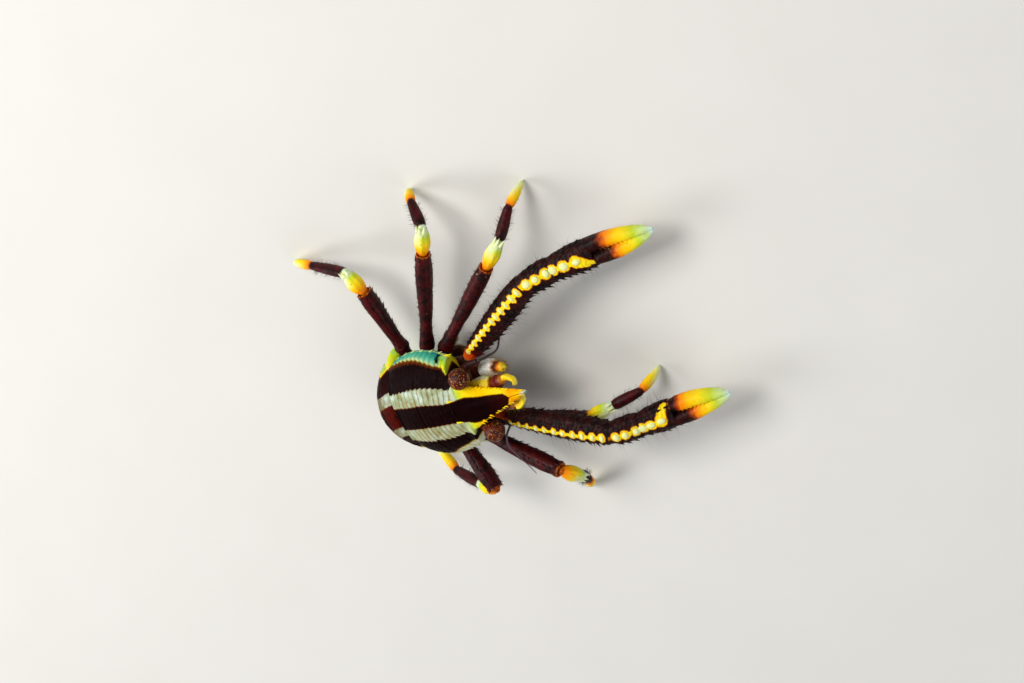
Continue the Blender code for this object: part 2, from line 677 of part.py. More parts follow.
def build_claw(side_name, collection):
    rng = random.Random(SPINE_SEED + 1)
    joints, directions, root = leg_joints("claw", side_name)
    outward = SIDES[side_name]
    level = UP.cross(directions[0]).normalized()
    hand = directions[3]
    hand_side = carry_side(level, hand)
    finger_length = (joints[4] - joints[3]).length
    for number, (word, profile) in enumerate((("arm", CLAW_ARM), ("wrist", CLAW_WRIST), ("palm", PALM))):
        piece = article_at(joints, directions, number, carry_side(level, directions[number]), profile)
        rings = mitred_rings(piece, joints, directions, root, number)
        item = add_object("claw_" + side_name + "_" + word, loft(rings), collection, "claw")
        extras = spines_of(piece, word, rng, outward)
        if word == "palm":
            finger_start = joints[3] - hand * FINGER_SINK
            whole = finger_length + FINGER_SINK
            extras.append(loft(finger_rings(finger_start, hand, hand_side, whole, outward)))
        fuse(item, extras)
    rings = finger_rings(joints[3] + hand * GAP, hand, hand_side, finger_length - GAP, -outward)
    normal = (directions[2] + hand).normalized()
    rings[0] = slide_to_plane(rings[0], hand, joints[3] + normal * (GAP / 2), normal)
    add_object("claw_" + side_name + "_finger", loft(rings), collection, "finger")


def centre_on_origin(collection):
    """Moves the meshes so that the middle of the model's outline is over the origin."""
    points = [vertex.co for item in collection.objects for vertex in item.data.vertices]
    middle = Vector((0.0, 0.0, 0.0))
    for axis in (0, 1):
        values = [point[axis] for point in points]
        middle[axis] = (min(values) + max(values)) / 2
    for item in collection.objects:
        item.data.transform(Matrix.Translation(-middle))


def main():
    clear_scene()
    collection = new_collection("elegant_squat_lobster")
    build_carapace(collection)
    build_thorax(collection)
    build_abdomen(collection)
    build_tail(collection)
    limbs = (
        ("antennule", ANTENNULE_PATH, ANTENNULE_RADII, AHEAD, "feeler"),
        ("antenna", ANTENNA_PATH, ANTENNA_RADII, AHEAD, "feeler"),
        ("maxilliped", MOUTH_PATH, MOUTH_RADII, AHEAD, "mouth"),
        ("leg5", FIFTH_LEG_PATH, FIFTH_LEG_RADII, SIDEWAYS, "leg"),
    )
    for side_name, side in SIDES.items():
        build_eye(side_name, collection)
        for word, path, radii, facing, colour_name in limbs:
            build_limb(word + "_" + side_name, path, radii, facing, side, collection, colour_name)
        build_flagellum(side_name, collection)
        build_claw(side_name, collection)
        for leg in ("leg2", "leg3", "leg4"):
            build_walking_leg(leg, side_name, collection)
    centre_on_origin(collection)


main()
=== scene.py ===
"""Looks of the elegant squat lobster: its shell, limbs, eyes, bristles, floor, light and camera.

Shapes are worked out in millimetres in the animal's own frame: X forward to the head, Y to its
left, Z up from the floor under its feet. The body's local frame starts at the middle of the
carapace's rear margin and is pitched up a little. The sizes shared with the solids keep their
names, so each piece lies where its node is.
"""
import math

import bpy
import numpy as np
from mathutils import Matrix, Vector


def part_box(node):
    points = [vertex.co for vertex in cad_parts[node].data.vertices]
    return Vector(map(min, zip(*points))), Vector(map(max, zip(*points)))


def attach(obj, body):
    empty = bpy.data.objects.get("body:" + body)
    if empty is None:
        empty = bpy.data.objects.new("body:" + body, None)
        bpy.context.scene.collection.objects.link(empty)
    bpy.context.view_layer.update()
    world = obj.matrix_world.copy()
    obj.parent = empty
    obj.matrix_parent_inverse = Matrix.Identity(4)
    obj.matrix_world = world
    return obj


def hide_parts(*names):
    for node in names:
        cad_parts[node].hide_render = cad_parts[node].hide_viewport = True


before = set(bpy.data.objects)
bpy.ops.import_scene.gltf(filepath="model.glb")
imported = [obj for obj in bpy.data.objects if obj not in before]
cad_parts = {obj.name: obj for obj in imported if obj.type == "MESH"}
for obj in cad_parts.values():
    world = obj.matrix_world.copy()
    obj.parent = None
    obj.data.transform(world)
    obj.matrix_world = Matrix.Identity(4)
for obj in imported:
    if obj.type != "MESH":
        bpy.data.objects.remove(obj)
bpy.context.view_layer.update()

MM = 0.001
UP = np.array((0.0, 0.0, 1.0))
SIDES = {"left": 1.0, "right": -1.0}
SEED = 23

# Stance and outline of the body, as in the solids
BODY_AT = np.array((1.35, 0.0, 4.85))
BODY_PITCH = math.radians(8.0)
CARAPACE_OUTLINE = (
    (0.35, 4.00, 2.30), (1.20, 4.65, 2.62), (2.30, 5.05, 2.90), (3.60, 5.25, 3.06), (5.00, 5.05, 3.05),
    (6.10, 4.64, 2.93), (6.40, 4.40, 2.88), (6.66, 4.34, 2.84),
)
ROSTRUM_OUTLINE = ((7.34, 2.40, 2.62), (8.00, 2.20, 2.45), (8.60, 1.92, 2.28), (10.0, 1.36, 1.94),
                   (11.8, 0.74, 1.60), (13.5, 0.08, 1.34))
CARAPACE_FLOOR = -1.0
FOLD_IN = 0.76
ROSTRUM_EDGE_DROP = 0.35
ROSTRUM_DEPTH = 0.85
ROSTRUM_THINNING = 0.45
FRONT_ROUNDING = 0.80

MARGIN_SPINES = ((1.6, 50, 0.40), (2.5, 45, 0.46), (3.4, 40, 0.48), (4.3, 36, 0.52), (5.2, 32, 0.55),
                 (6.0, 26, 0.60), (6.62, 14, 0.66))
ROSTRUM_TEETH = ((8.5, 42, 0.40), (9.3, 36, 0.38), (10.1, 32, 0.36), (10.9, 28, 0.34), (11.6, 24, 0.30),
                 (12.3, 20, 0.28), (12.9, 16, 0.24))
BROW_SPINES = ((7.35, 1.95, 2.30, 10, 0.62), (6.75, 1.10, 2.72, 5, 0.42))

EYE_RADIUS = 0.98
EYE_AT = {"left": (8.58, 3.02, 2.42), "right": (8.94, 3.13, 1.61)}
EYESTALK_FROM = (7.62, 2.30, 1.20)

THORAX_OUTLINE = ((0.85, 1.7, -1.30, -2.00), (1.80, 2.3, -1.30, -2.40), (5.00, 2.9, -1.30, -2.55),
                  (7.30, 2.6, -1.30, -2.50), (7.65, 2.4, -1.20, -2.45), (8.30, 1.9, -0.90, -2.10))

# Grooves between the plates of the breast
PLATE_GROOVES = (1.9, 3.2, 5.0, 6.8)

CURL_CENTRE = (0.05, -1.45)
CURL_RADIUS = 2.30
SOMITE_TURNS = (32.0, 54.0, 50.0, 44.0)
SOMITE_WIDTHS = (4.25, 4.35, 3.75, 3.40, 3.10, 2.80)
SOMITE_RISES = (1.12, 1.12, 0.95, 0.76, 0.64, 0.60)
SOMITE_SHIFTS = (-0.35, -0.55, -0.45, -0.30, -0.15, 0.0)
ARCH_POWER = 1.7
SOMITE_EDGES = (1.15, 1.20, 1.20, 1.10, 0.70, 0.65)
LAST_SOMITE_LENGTHS = (1.60, 1.70)
# The side flap of the first ring, on the left side, and its radii at shares of its length
FLAP_PATH = ((-0.25, 3.60, -0.25), (-0.02, 4.05, -0.85), (0.28, 4.42, -1.60), (0.36, 4.38, -2.15))
FLAP_RADII = ((0.0, 0.30), (0.33, 0.46), (0.66, 0.56), (0.88, 0.46), (0.96, 0.32), (1.0, 0.10))
# How far the stripes of the abdomen swing to the right
STRIPE_SWING = 1.1
TELSON_LENGTH = 2.40

# Where the short first articles start inside the thorax, on the left side, and where each leg's
# long first article begins
LEG_ROOTS = {"claw": (7.42, 2.75, -1.52), "leg2": (5.0, 2.5, -1.95), "leg3": (3.5, 2.7, -1.95),
             "leg4": (2.0, 2.2, -1.90)}
LEG_BASES = {
    "claw_left": (7.80, 3.15, -1.45), "claw_right": (7.80, -3.15, -1.45),
    "leg2_left": (5.15, 3.85, -1.78), "leg2_right": (5.80, -3.55, -1.85),
    "leg3_left": (3.55, 4.25, -1.75), "leg3_right": (3.90, -4.00, -1.85),
    "leg4_left": (1.35, 4.70, -1.55), "leg4_right": (2.10, -3.70, -1.85),
}
STUB_RADIUS = 0.50
POSE = {
    "claw_left": ((33.9, 5.0, 10.25), (11.6, -12.1, 2.9), (5.4, -7.1, 4.05), (3.2, -4.9, 5.85)),
    "claw_right": ((-20.0, 7.4, 10.9), (-1.9, -12.7, 2.75), (3.4, -9.2, 3.3), (3.1, -5.2, 5.4)),
    "leg2_left": ((41.6, 3.7, 10.65), (42.6, -10.5, 2.75), (56.7, -27.5, 3.05), (42.2, 3.0)),
    "leg2_right": ((-18.2, -5.6, 9.5), (16.6, 7.2, 3.15), (8.4, -14.1, 2.9), (25.9, 3.1)),
    "leg3_left": ((64.3, 5.4, 10.6), (65.3, 2.2, 2.6), (119.0, -45.3, 2.85), (175.2, 2.95)),
    "leg3_right": ((-29.8, 19.6, 10.25), (-69.3, -41.7, 2.7), (-119.6, -49.6, 3.6), (-128.3, 3.4)),
    "leg4_left": ((94.4, 6.6, 6.9), (114.6, -7.5, 2.3), (169.2, -24.7, 4.3), (181.5, 3.7)),
    "leg4_right": ((-65.7, 22.1, 7.15), (172.6, -30.8, 2.15), (170.0, -38.8, 4.15), (140.1, 3.8)),
}

# Along an article: how far, half-width, half-depth and how far the middle bows outwards
MERUS = ((0.0, 0.62, 0.64, 0.0), (0.05, 0.70, 0.72, 0.0), (0.11, 0.62, 0.65, 0.0), (0.17, 0.55, 0.59, 0.0),
         (0.5, 0.63, 0.68, 0.0), (0.85, 0.73, 0.79, 0.0), (1.0, 0.61, 0.65, 0.0))
CARPUS = ((0.0, 0.42, 0.46, 0.0), (0.20, 0.58, 0.62, 0.08), (0.48, 0.70, 0.72, 0.13),
          (0.80, 0.57, 0.60, 0.08), (1.0, 0.42, 0.44, 0.0))
PROPODUS = ((0.0, 0.42, 0.44, 0.0), (0.2, 0.50, 0.52, 0.0), (0.8, 0.44, 0.46, 0.0), (1.0, 0.38, 0.40, 0.0))
DACTYL = ((0.0, 0.36, 0.38, 0.0), (0.25, 0.44, 0.48, 0.13), (0.6, 0.37, 0.42, 0.21), (0.88, 0.20, 0.22, 0.11),
          (1.0, 0.07, 0.07, 0.0))
CLAW_ARM = ((0.0, 0.56, 0.54, 0.0), (0.12, 0.78, 0.70, 0.0), (0.3, 0.98, 0.82, 0.0), (0.8, 1.18, 0.96, 0.0),
            (1.0, 1.06, 0.88, 0.0))
CLAW_WRIST = ((0.0, 1.00, 0.84, 0.0), (0.45, 1.17, 0.94, 0.05), (0.85, 1.17, 0.93, 0.0),
              (1.0, 1.08, 0.86, 0.0))
PALM = ((0.0, 1.06, 0.84, 0.0), (0.35, 1.26, 0.96, 0.0), (0.85, 1.34, 0.96, 0.0), (1.0, 1.26, 0.86, 0.0))
FINGER = ((0.0, 0.60, 0.80, 0.0), (0.3, 0.69, 0.80, 0.0), (0.65, 0.58, 0.68, 0.0), (0.88, 0.36, 0.44, 0.0),
          (1.0, 0.12, 0.14, 0.0))
FINGER_SPREAD = 0.68
FINGER_MEET = 0.12
FINGER_SINK = 0.8

# Feelers and mouth limbs, as paths of centres on the left side in the body's frame
ANTENNULE_PATH = ((7.66, 1.08, 0.35), (9.20, 1.05, 0.58), (10.3, 1.00, 0.50), (11.2, 1.22, 0.50),
                  (11.9, 1.44, 0.50), (12.45, 1.02, 0.46), (12.3, 0.42, 0.40))
ANTENNA_PATH = ((7.66, 2.75, 0.05), (8.5, 3.05, 0.12), (9.5, 3.30, 0.22))
MOUTH_PATH = ((8.50, 1.35, -1.45), (8.95, 1.60, -1.22), (9.75, 1.78, -1.05), (10.40, 1.92, -0.80),
              (11.0, 1.90, -0.62), (11.5, 1.86, -0.58))
FIFTH_LEG_PATH = ((0.98, 2.12, -1.65), (0.84, 2.80, -1.68), (0.76, 3.35, -1.50), (0.76, 3.72, -1.20))
FLAGELLUM_PATHS = {
    "left": ((9.80, 3.36, 0.28), (10.3, 3.22, -0.60), (10.6, 3.15, -1.90), (11.0, 4.50, -2.95),
             (11.9, 5.75, -3.10), (13.0, 6.60, -3.15), (14.6, 7.65, -3.20), (16.4, 8.85, -3.30),
             (18.2, 9.30, -4.02), (20.0, 9.60, -4.55), (21.2, 9.70, -4.85)),
    "right": ((9.82, -3.50, 0.36), (9.35, -4.15, 0.80), (9.08, -5.04, 0.92), (9.29, -6.07, 0.86),
              (9.45, -7.40, 0.35), (9.35, -9.30, -0.55)),
}
# Radii of these limbs at shares of their length
ANTENNULE_SIZES = ((0.0, 0.36), (0.08, 0.60), (0.17, 0.82), (0.27, 0.72), (0.33, 0.58), (0.41, 0.62),
                   (0.50, 0.50), (0.56, 0.32), (0.68, 0.29), (0.85, 0.25), (0.96, 0.20), (1.0, 0.10))
ANTENNA_SIZES = ((0.0, 0.28), (0.2, 0.34), (0.45, 0.34), (0.75, 0.28), (1.0, 0.2))
MOUTH_SIZES = ((0.0, 0.46), (0.08, 0.62), (0.20, 0.80), (0.42, 0.80), (0.54, 0.64), (0.62, 0.50),
               (0.72, 0.46), (0.82, 0.48), (0.93, 0.36), (1.0, 0.12))
FIFTH_LEG_SIZES = ((0.0, 0.30), (0.3, 0.30), (0.6, 0.28), (0.9, 0.26), (1.0, 0.12))

# The photograph's camera, in millimetres in the animal's frame, with its right, up and back axes
CAMERA_AT = Vector((128.301, 101.674, 210.242))
CAMERA_AXES = Matrix(((0.86721, -0.40521, -0.28942), (0.2153, 0.8292, -0.51582), (0.449, 0.38501, 0.80633)))
CAMERA_LENS = 102.4


def middle_of_model():
    """The point of the animal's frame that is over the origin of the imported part."""
    low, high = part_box("carapace")
    tip_x, _, tip_top = ROSTRUM_OUTLINE[-1]
    tip_bottom = tip_top - ROSTRUM_DEPTH * (1.0 - ROSTRUM_THINNING)
    tip = BODY_AT[0] + tip_x * math.cos(BODY_PITCH) - tip_bottom * math.sin(BODY_PITCH)
    return np.array((tip - high[0] / MM, -(low[1] + high[1]) / 2 / MM, 0.0))


MIDDLE = middle_of_model()


# Small helpers for arrays of points

def half_turn(angle):
    """An angle brought between half a turn down and half a turn up."""
    return (angle + np.pi) % (2 * np.pi) - np.pi


def unit(vectors):
    vectors = np.asarray(vectors, dtype=float)
    return vectors / np.maximum(np.linalg.norm(vectors, axis=-1, keepdims=True), 1e-12)


def body(points):
    """Places in the body's local frame, as places in the animal's frame."""
    points = np.asarray(points, dtype=float)
    c, s = math.cos(BODY_PITCH), math.sin(BODY_PITCH)
    x, y, z = points[..., 0], points[..., 1], points[..., 2]
    return np.stack((x * c - z * s, y, x * s + z * c), axis=-1) + BODY_AT


def body_direction(vector):
    return body(vector) - BODY_AT


def heading_vector(heading, rise):
    turn, lift = math.radians(heading), math.radians(rise)
    return np.array((math.cos(lift) * math.cos(turn), math.cos(lift) * math.sin(turn), math.sin(lift)))


def mirrored(path, side):
    """Places of the body's left side, or their mirror images, as places in the animal's frame."""
    return body(np.array(path) * np.array((1.0, side, 1.0)))


def hump(values, place, width):
    """Smoothly up to 1 at a place and down to 0 beyond about twice a width from it."""
    return np.exp(-((values - place) / width) ** 2)


def smooth_step(low, high, values):
    share = np.clip((values - low) / (high - low), 0.0, 1.0)
    return share * share * (3.0 - 2.0 * share)


def smooth_rows(table, places):
    """Values between a table's rows, on smooth curves that don't overshoot much."""
    table = np.array(table, dtype=float)
    keys, values = table[:, 0], table[:, 1:]
    slopes = np.gradient(values, keys, axis=0)
    places = np.clip(np.asarray(places, dtype=float), keys[0], keys[-1])
    index = np.clip(np.searchsorted(keys, places, side="right") - 1, 0, len(keys) - 2)
    span = keys[index + 1] - keys[index]
    t = ((places - keys[index]) / span)[..., None]
    span = span[..., None]
    return ((2 * t ** 3 - 3 * t ** 2 + 1) * values[index] + (t ** 3 - 2 * t ** 2 + t) * span * slopes[index]
            + (3 * t ** 2 - 2 * t ** 3) * values[index + 1] + (t ** 3 - t ** 2) * span * slopes[index + 1])


def noise(points, size, seed):
    """Smooth random values between -1 and 1, with features of one size in millimetres."""
    scaled = np.asarray(points, dtype=float) / size + 11.7 * seed + 91.3
    cell = np.floor(scaled)
    part = scaled - cell
    part = part * part * (3.0 - 2.0 * part)
    total = np.zeros(scaled.shape[:-1])
    for corner in range(8):
        offset = np.array([(corner >> k) & 1 for k in range(3)], dtype=float)
        value = np.sin((cell + offset) @ np.array((12.9898, 78.233, 37.719))) * 43758.5453
        weight = np.prod(np.where(offset > 0, part, 1.0 - part), axis=-1)
        total += (2.0 * (value - np.floor(value)) - 1.0) * weight
    return total


def smooth_path(points, steps):
    """A smooth curve through points, by Catmull-Rom spans."""
    points = np.array(points, dtype=float)
    padded = np.vstack((2 * points[0] - points[1], points, 2 * points[-1] - points[-2]))
    result = []
    for before, start, end, after in zip(padded, padded[1:], padded[2:], padded[3:]):
        for t in np.arange(steps) / steps:
            result.append(0.5 * (2 * start + (end - before) * t
                                 + (2 * before - 5 * start + 4 * end - after) * t ** 2
                                 + (3 * start - before - 3 * end + after) * t ** 3))
    result.append(points[-1])
    return np.array(result)


def grid_normals(grid):
    """Outward normals of a grid whose columns run round it."""
    along = np.gradient(grid, axis=0)
    across = np.roll(grid, -1, axis=1) - np.roll(grid, 1, axis=1)
    normals = unit(np.cross(across, along))
    outward = grid - grid.mean(axis=1, keepdims=True)
    if (normals * outward).sum(axis=-1).mean() < 0:
        normals = -normals
    return normals


def raised(grid, height):
    """A grid whose points are moved outwards by heights."""
    return grid + grid_normals(grid) * height[..., None]


# Meshes

def ring_faces(rows, columns):
    """The numbers of a grid's points, those of their neighbours in the row, and the faces between rows."""
    number = np.arange(rows * columns).reshape(rows, columns)
    following = np.roll(number, -1, axis=1)
    quads = np.stack((number[:-1], following[:-1], following[1:], number[1:]), axis=-1).reshape(-1, 4)
    return number, following, quads


class Surface:
    """Collects grids and cones, with values at their points, into one mesh."""

    def __init__(self):
        self.points = []
        self.faces = []
        self.values = []
        self.count = 0

    def add(self, points, faces, values):
        """Faces are arrays of point numbers. Values are three numbers a point."""
        points = points.reshape(-1, 3)
        self.points.append(points)
        self.values.append(np.broadcast_to(values, (len(points), 3)))
        self.faces += [part + self.count for part in faces]
        self.count += len(points)

    def add_tube(self, grid, along, across=0.0, tint=0.0):
        """A grid whose columns run round it, closed at both ends."""
        rows, columns = grid.shape[:2]
        values = [np.broadcast_to(value, (rows, columns)) for value in (along, across, tint)]
        values = np.stack(values, axis=-1)
        number, following, quads = ring_faces(rows, columns)
        first, last = rows * columns, rows * columns + 1
        fan_low = np.stack((np.full(columns, first), following[0], number[0]), axis=-1)
        fan_high = np.stack((np.full(columns, last), number[-1], following[-1]), axis=-1)
        along_step = np.gradient(grid, axis=0)
        across_step = np.roll(grid, -1, axis=1) - np.roll(grid, 1, axis=1)
        outward = grid - grid.mean(axis=1, keepdims=True)
        if (np.cross(across_step, along_step) * outward).sum() < 0:
            quads, fan_low, fan_high = quads[:, ::-1], fan_low[:, ::-1], fan_high[:, ::-1]
        points = np.vstack((grid.reshape(-1, 3), grid[0].mean(axis=0), grid[-1].mean(axis=0)))
        values = np.vstack((values.reshape(-1, 3), values[0].mean(axis=0), values[-1].mean(axis=0)))
        self.add(points, [quads, np.vstack((fan_low, fan_high))], values)

    def add_cones(self, roots, directions, lengths, radii, values, sides=10, rings=6, bend=None):
        """Tapered, closed cones. The bend moves each tip sideways by a vector."""
        roots, directions = np.atleast_2d(roots), unit(np.atleast_2d(directions))
        many = len(roots)
        lengths = np.broadcast_to(lengths, many)[:, None, None, None]
        radii = np.broadcast_to(radii, many)[:, None, None, None]
        bend = np.zeros((many, 3)) if bend is None else np.atleast_2d(bend)
        helper = np.where(np.abs(directions[:, 2:]) < 0.9, UP, np.array((1.0, 0.0, 0.0)))
        side = unit(np.cross(helper, directions))
        above = np.cross(directions, side)
        share = (np.arange(rings) / rings)[None, :, None, None]
        angle = (2 * np.pi * np.arange(sides) / sides)[None, None, :, None]
        size = radii * (1.0 - share)
        centre = (roots[:, None, None] + directions[:, None, None] * lengths * share
                  + bend[:, None, None] * share ** 2)
        ring = centre + (side[:, None, None] * np.cos(angle) + above[:, None, None] * np.sin(angle)) * size
        tip = roots + directions * lengths[:, 0, 0] + bend
        points = np.concatenate((ring.reshape(many, -1, 3), tip[:, None]), axis=1)
        number, following, quads = ring_faces(rings, sides)
        fan = np.stack((np.full(sides, rings * sides), number[-1], following[-1]), axis=-1)
        foot = number[0][::-1][None]
        start = (np.arange(many) * points.shape[1])[:, None, None]
        faces = [(part[None] + start).reshape(-1, part.shape[1]) for part in (quads, fan, foot)]
        values = np.broadcast_to(np.asarray(values, dtype=float), (many, 3))
        self.add(points, faces, np.repeat(values, points.shape[1], axis=0))
        return points.shape[1]

    def finish(self, name, material, slot, *nodes, bake_places=None):
        """Makes the object. Bake places are one place a point on an unwrap of the skin."""
        points = (np.vstack(self.points) - MIDDLE) * MM
        points[:, 2] = np.maximum(points[:, 2], 0.0)
        mesh = bpy.data.meshes.new(name)
        mesh.vertices.add(len(points))
        mesh.vertices.foreach_set("co", points.astype(np.float32).ravel())
        corners = np.concatenate([part.ravel() for part in self.faces]).astype(np.int32)
        sizes = np.concatenate([np.full(len(part), part.shape[1]) for part in self.faces])
        starts = np.concatenate(((0,), np.cumsum(sizes)[:-1])).astype(np.int32)
        mesh.loops.add(len(corners))
        mesh.loops.foreach_set("vertex_index", corners)
        mesh.polygons.add(len(starts))
        mesh.polygons.foreach_set("loop_start", starts)
        mesh.update(calc_edges=True)
        values = np.vstack(self.values).astype(np.float32)
        for column, attribute in enumerate(("along", "across", "tint")):
            layer = mesh.attributes.new(attribute, "FLOAT", "POINT")
            layer.data.foreach_set("value", values[:, column].copy())
        if bake_places is not None:
            layer = mesh.uv_layers.new(name="OFBake")
            layer.data.foreach_set("uv", bake_places[corners].astype(np.float32).ravel())
        mesh.shade_smooth()
        mesh.materials.append(MATERIALS[material])
        piece = bpy.data.objects.new(name, mesh)
        bpy.context.scene.collection.objects.link(piece)
        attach(piece, "root")
        if nodes:
            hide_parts(*nodes)


class Bristles:
    """Fine bristles of one coat piece, each with its place on an unwrap of the skin."""

    PATCH = 0.003

    def __init__(self, seed):
        self.surface = Surface()
        self.places = []
        self.random = np.random.default_rng(SEED + seed)

    def add(self, roots, directions, lengths, places, pale, radius, bend=0.25, spread=0.18):
        """Bristles from roots along directions, with a share of wildness and a bend towards their tips."""
        many = len(roots)
        wild = self.random.normal(0.0, spread, (many, 3))
        directions = unit(unit(directions) + wild)
        lengths = np.broadcast_to(lengths, many) * self.random.uniform(0.7, 1.25, many)
        pale = np.broadcast_to(pale, many)
        clear = (roots + directions * lengths[:, None] * 1.3)[:, 2] > 0.05
        kept = (part[clear] for part in (roots, directions, lengths, pale, places))
        roots, directions, lengths, pale, places = kept
        many = len(roots)
        if many == 0:
            return
        sideways = unit(np.cross(directions, self.random.normal(size=(many, 3))))
        values = np.zeros((many, 3))
        values[:, 0] = pale
        values[:, 1] = self.random.uniform(0.0, 1.0, many)
        each = self.surface.add_cones(roots - directions * 0.04, directions, lengths + 0.04, radius,
                                      values, sides=3, rings=3, bend=sideways * (bend * lengths)[:, None])
        patch = np.array([(k % 4, k // 4) for k in range(each)]) / 4.0 * self.PATCH
        places = np.clip(places, 0.002, 0.994)
        self.places.append((places[:, None] + patch[None]).reshape(-1, 2))

    def finish(self, name, slot):
        if self.places:
            self.surface.finish(name, "bristle", slot, bake_places=np.vstack(self.places))


# Materials

class Shader:
    """Builds one node material whose textures are scaled in millimetres."""

    def __init__(self, name, roughness=0.4, coat=0.0, specular=0.5):
        self.material = bpy.data.materials.new(name)
        self.material.use_nodes = True
        self.tree = self.material.node_tree
        self.inputs = self.tree.nodes["Principled BSDF"].inputs
        for word, value in (("Roughness", roughness), ("Specular IOR Level", specular),
                            ("Coat Weight", coat), ("Coat Roughness", 0.18)):
            self.inputs[word].default_value = value
        coordinates = self.node("TexCoord", {}, "Object")
        self.place = self.node("VectorMath", {0: coordinates, "Scale": 1.0 / MM}, operation="SCALE")

    def link(self, source, target):
        if isinstance(source, (int, float)):
            target.default_value = source
        elif isinstance(source, tuple):
            target.default_value = (*source, 1.0) if len(source) == 3 else source
        else:
            self.tree.links.new(source, target)

    def node(self, kind, sources, output=0, **settings):
        """Adds a node with its settings and what goes into it, and hands back one of its outputs."""
        node = self.tree.nodes.new("ShaderNode" + kind)
        for word, value in settings.items():
            setattr(node, word, value)
        for word, source in sources.items():
            self.link(source, node.inputs[word])
        return node.outputs[output]

    def sideways(self):
        """How far a place is to the animal's left, in millimetres."""
        return self.node("SeparateXYZ", {0: self.place}, "Y")

    def attribute(self, name):
        return self.node("Attribute", {}, "Fac", attribute_name=name)

    def ramp(self, factor, stops, low=0.0, high=1.0):
        """Colours at values between low and high, straight in between."""
        node = self.tree.nodes.new("ShaderNodeValToRGB")
        elements = node.color_ramp.elements
        for i, (value, colour) in enumerate(stops):
            element = elements[i] if i < 2 else elements.new(1.0)
            element.position = (value - low) / (high - low)
            element.color = (*colour, 1.0)
        self.link(self.map_range(factor, low, high), node.inputs["Fac"])
        return node.outputs["Color"]

    def mask(self, factor, stops, low, high):
        """A ramp of greys between 0 and 1."""
        return self.ramp(factor, [(value, (grey, grey, grey)) for value, grey in stops], low, high)

    def map_range(self, value, low, high, to_low=0.0, to_high=1.0):
        sources = {"Value": value, "From Min": low, "From Max": high, "To Min": to_low, "To Max": to_high}
        return self.node("MapRange", sources, "Result")

    def math(self, operation, first, second):
        return self.node("Math", {0: first, 1: second}, operation=operation)

    def times(self, first, second):
        return self.math("MULTIPLY", first, second)

    def mix(self, factor, first, second):
        return self.node("Mix", {"Factor": factor, 6: first, 7: second}, 2, data_type="RGBA")

    def border(self, value, low, high, first, second):
        """The first colour where a value is below low, the second where it is above high."""
        return self.mix(self.map_range(value, low, high), first, second)

    def noise(self, size, detail=3.0):
        """Fractal noise around 0.5 with features of a size in millimetres."""
        return self.node("TexNoise", {"Scale": 1.0 / size, "Detail": detail, "Vector": self.place}, "Fac")

    def cells(self, size):
        """Distance from scattered points that lie about a size in millimetres apart."""
        return self.node("TexVoronoi", {"Scale": 1.0 / size, "Vector": self.place}, "Distance")

    def wavering(self, value, size, amount):
        """A value with noise of an amount added, for ragged borders."""
        return self.math("ADD", value, self.times(self.math("SUBTRACT", self.noise(size), 0.5), amount))

    def bump(self, height, depth):
        """Bumps of a depth in millimetres."""
        sources = {"Strength": 1.0, "Distance": depth * MM, "Height": height}
        self.link(self.node("Bump", sources, "Normal"), self.inputs["Normal"])

    def colour(self, source):
        self.link(source, self.inputs["Base Color"])

    def roughness(self, source):
        self.link(source, self.inputs["Roughness"])


def tone(red, green, blue):
    """A colour given as it looks on screen, from 0 to 255."""
    return tuple(((value / 255 + 0.055) / 1.055) ** 2.4 if value > 10 else value / 255 / 12.92
                 for value in (red, green, blue))


BLACK_SHELL = tone(6, 1, 2)
MAROON_BLACK = tone(24, 2, 3)
MAROON = tone(72, 4, 7)
RED_BROWN = tone(110, 28, 8)
ORANGE = tone(246, 128, 0)
ORANGE_GOLD = tone(250, 160, 0)
GOLD = tone(250, 192, 0)
YELLOW = tone(245, 216, 20)
LIME = tone(196, 214, 40)
PALE_YELLOW = tone(236, 236, 140)
PALE_GREEN = tone(204, 224, 190)
ICE = tone(206, 228, 222)
# Turquoise of the pale margin: painted blue-tinted shade on that margin.
SHADED_MARGIN_TURQUOISE = tone(66, 172, 142)


def horny(shader, colour, size=0.16, depth=0.02):
    """The material of a horny shell: its colour, fine pits and granules, and a slightly uneven gloss."""
    shader.colour(colour)
    grain = shader.math("ADD", shader.noise(size, 4.0), shader.times(shader.cells(size * 0.8), 0.6))
    shader.bump(grain, depth)
    shader.roughness(shader.map_range(shader.noise(size * 3), 0.35, 0.65, 0.42, 0.58))
    return shader.material


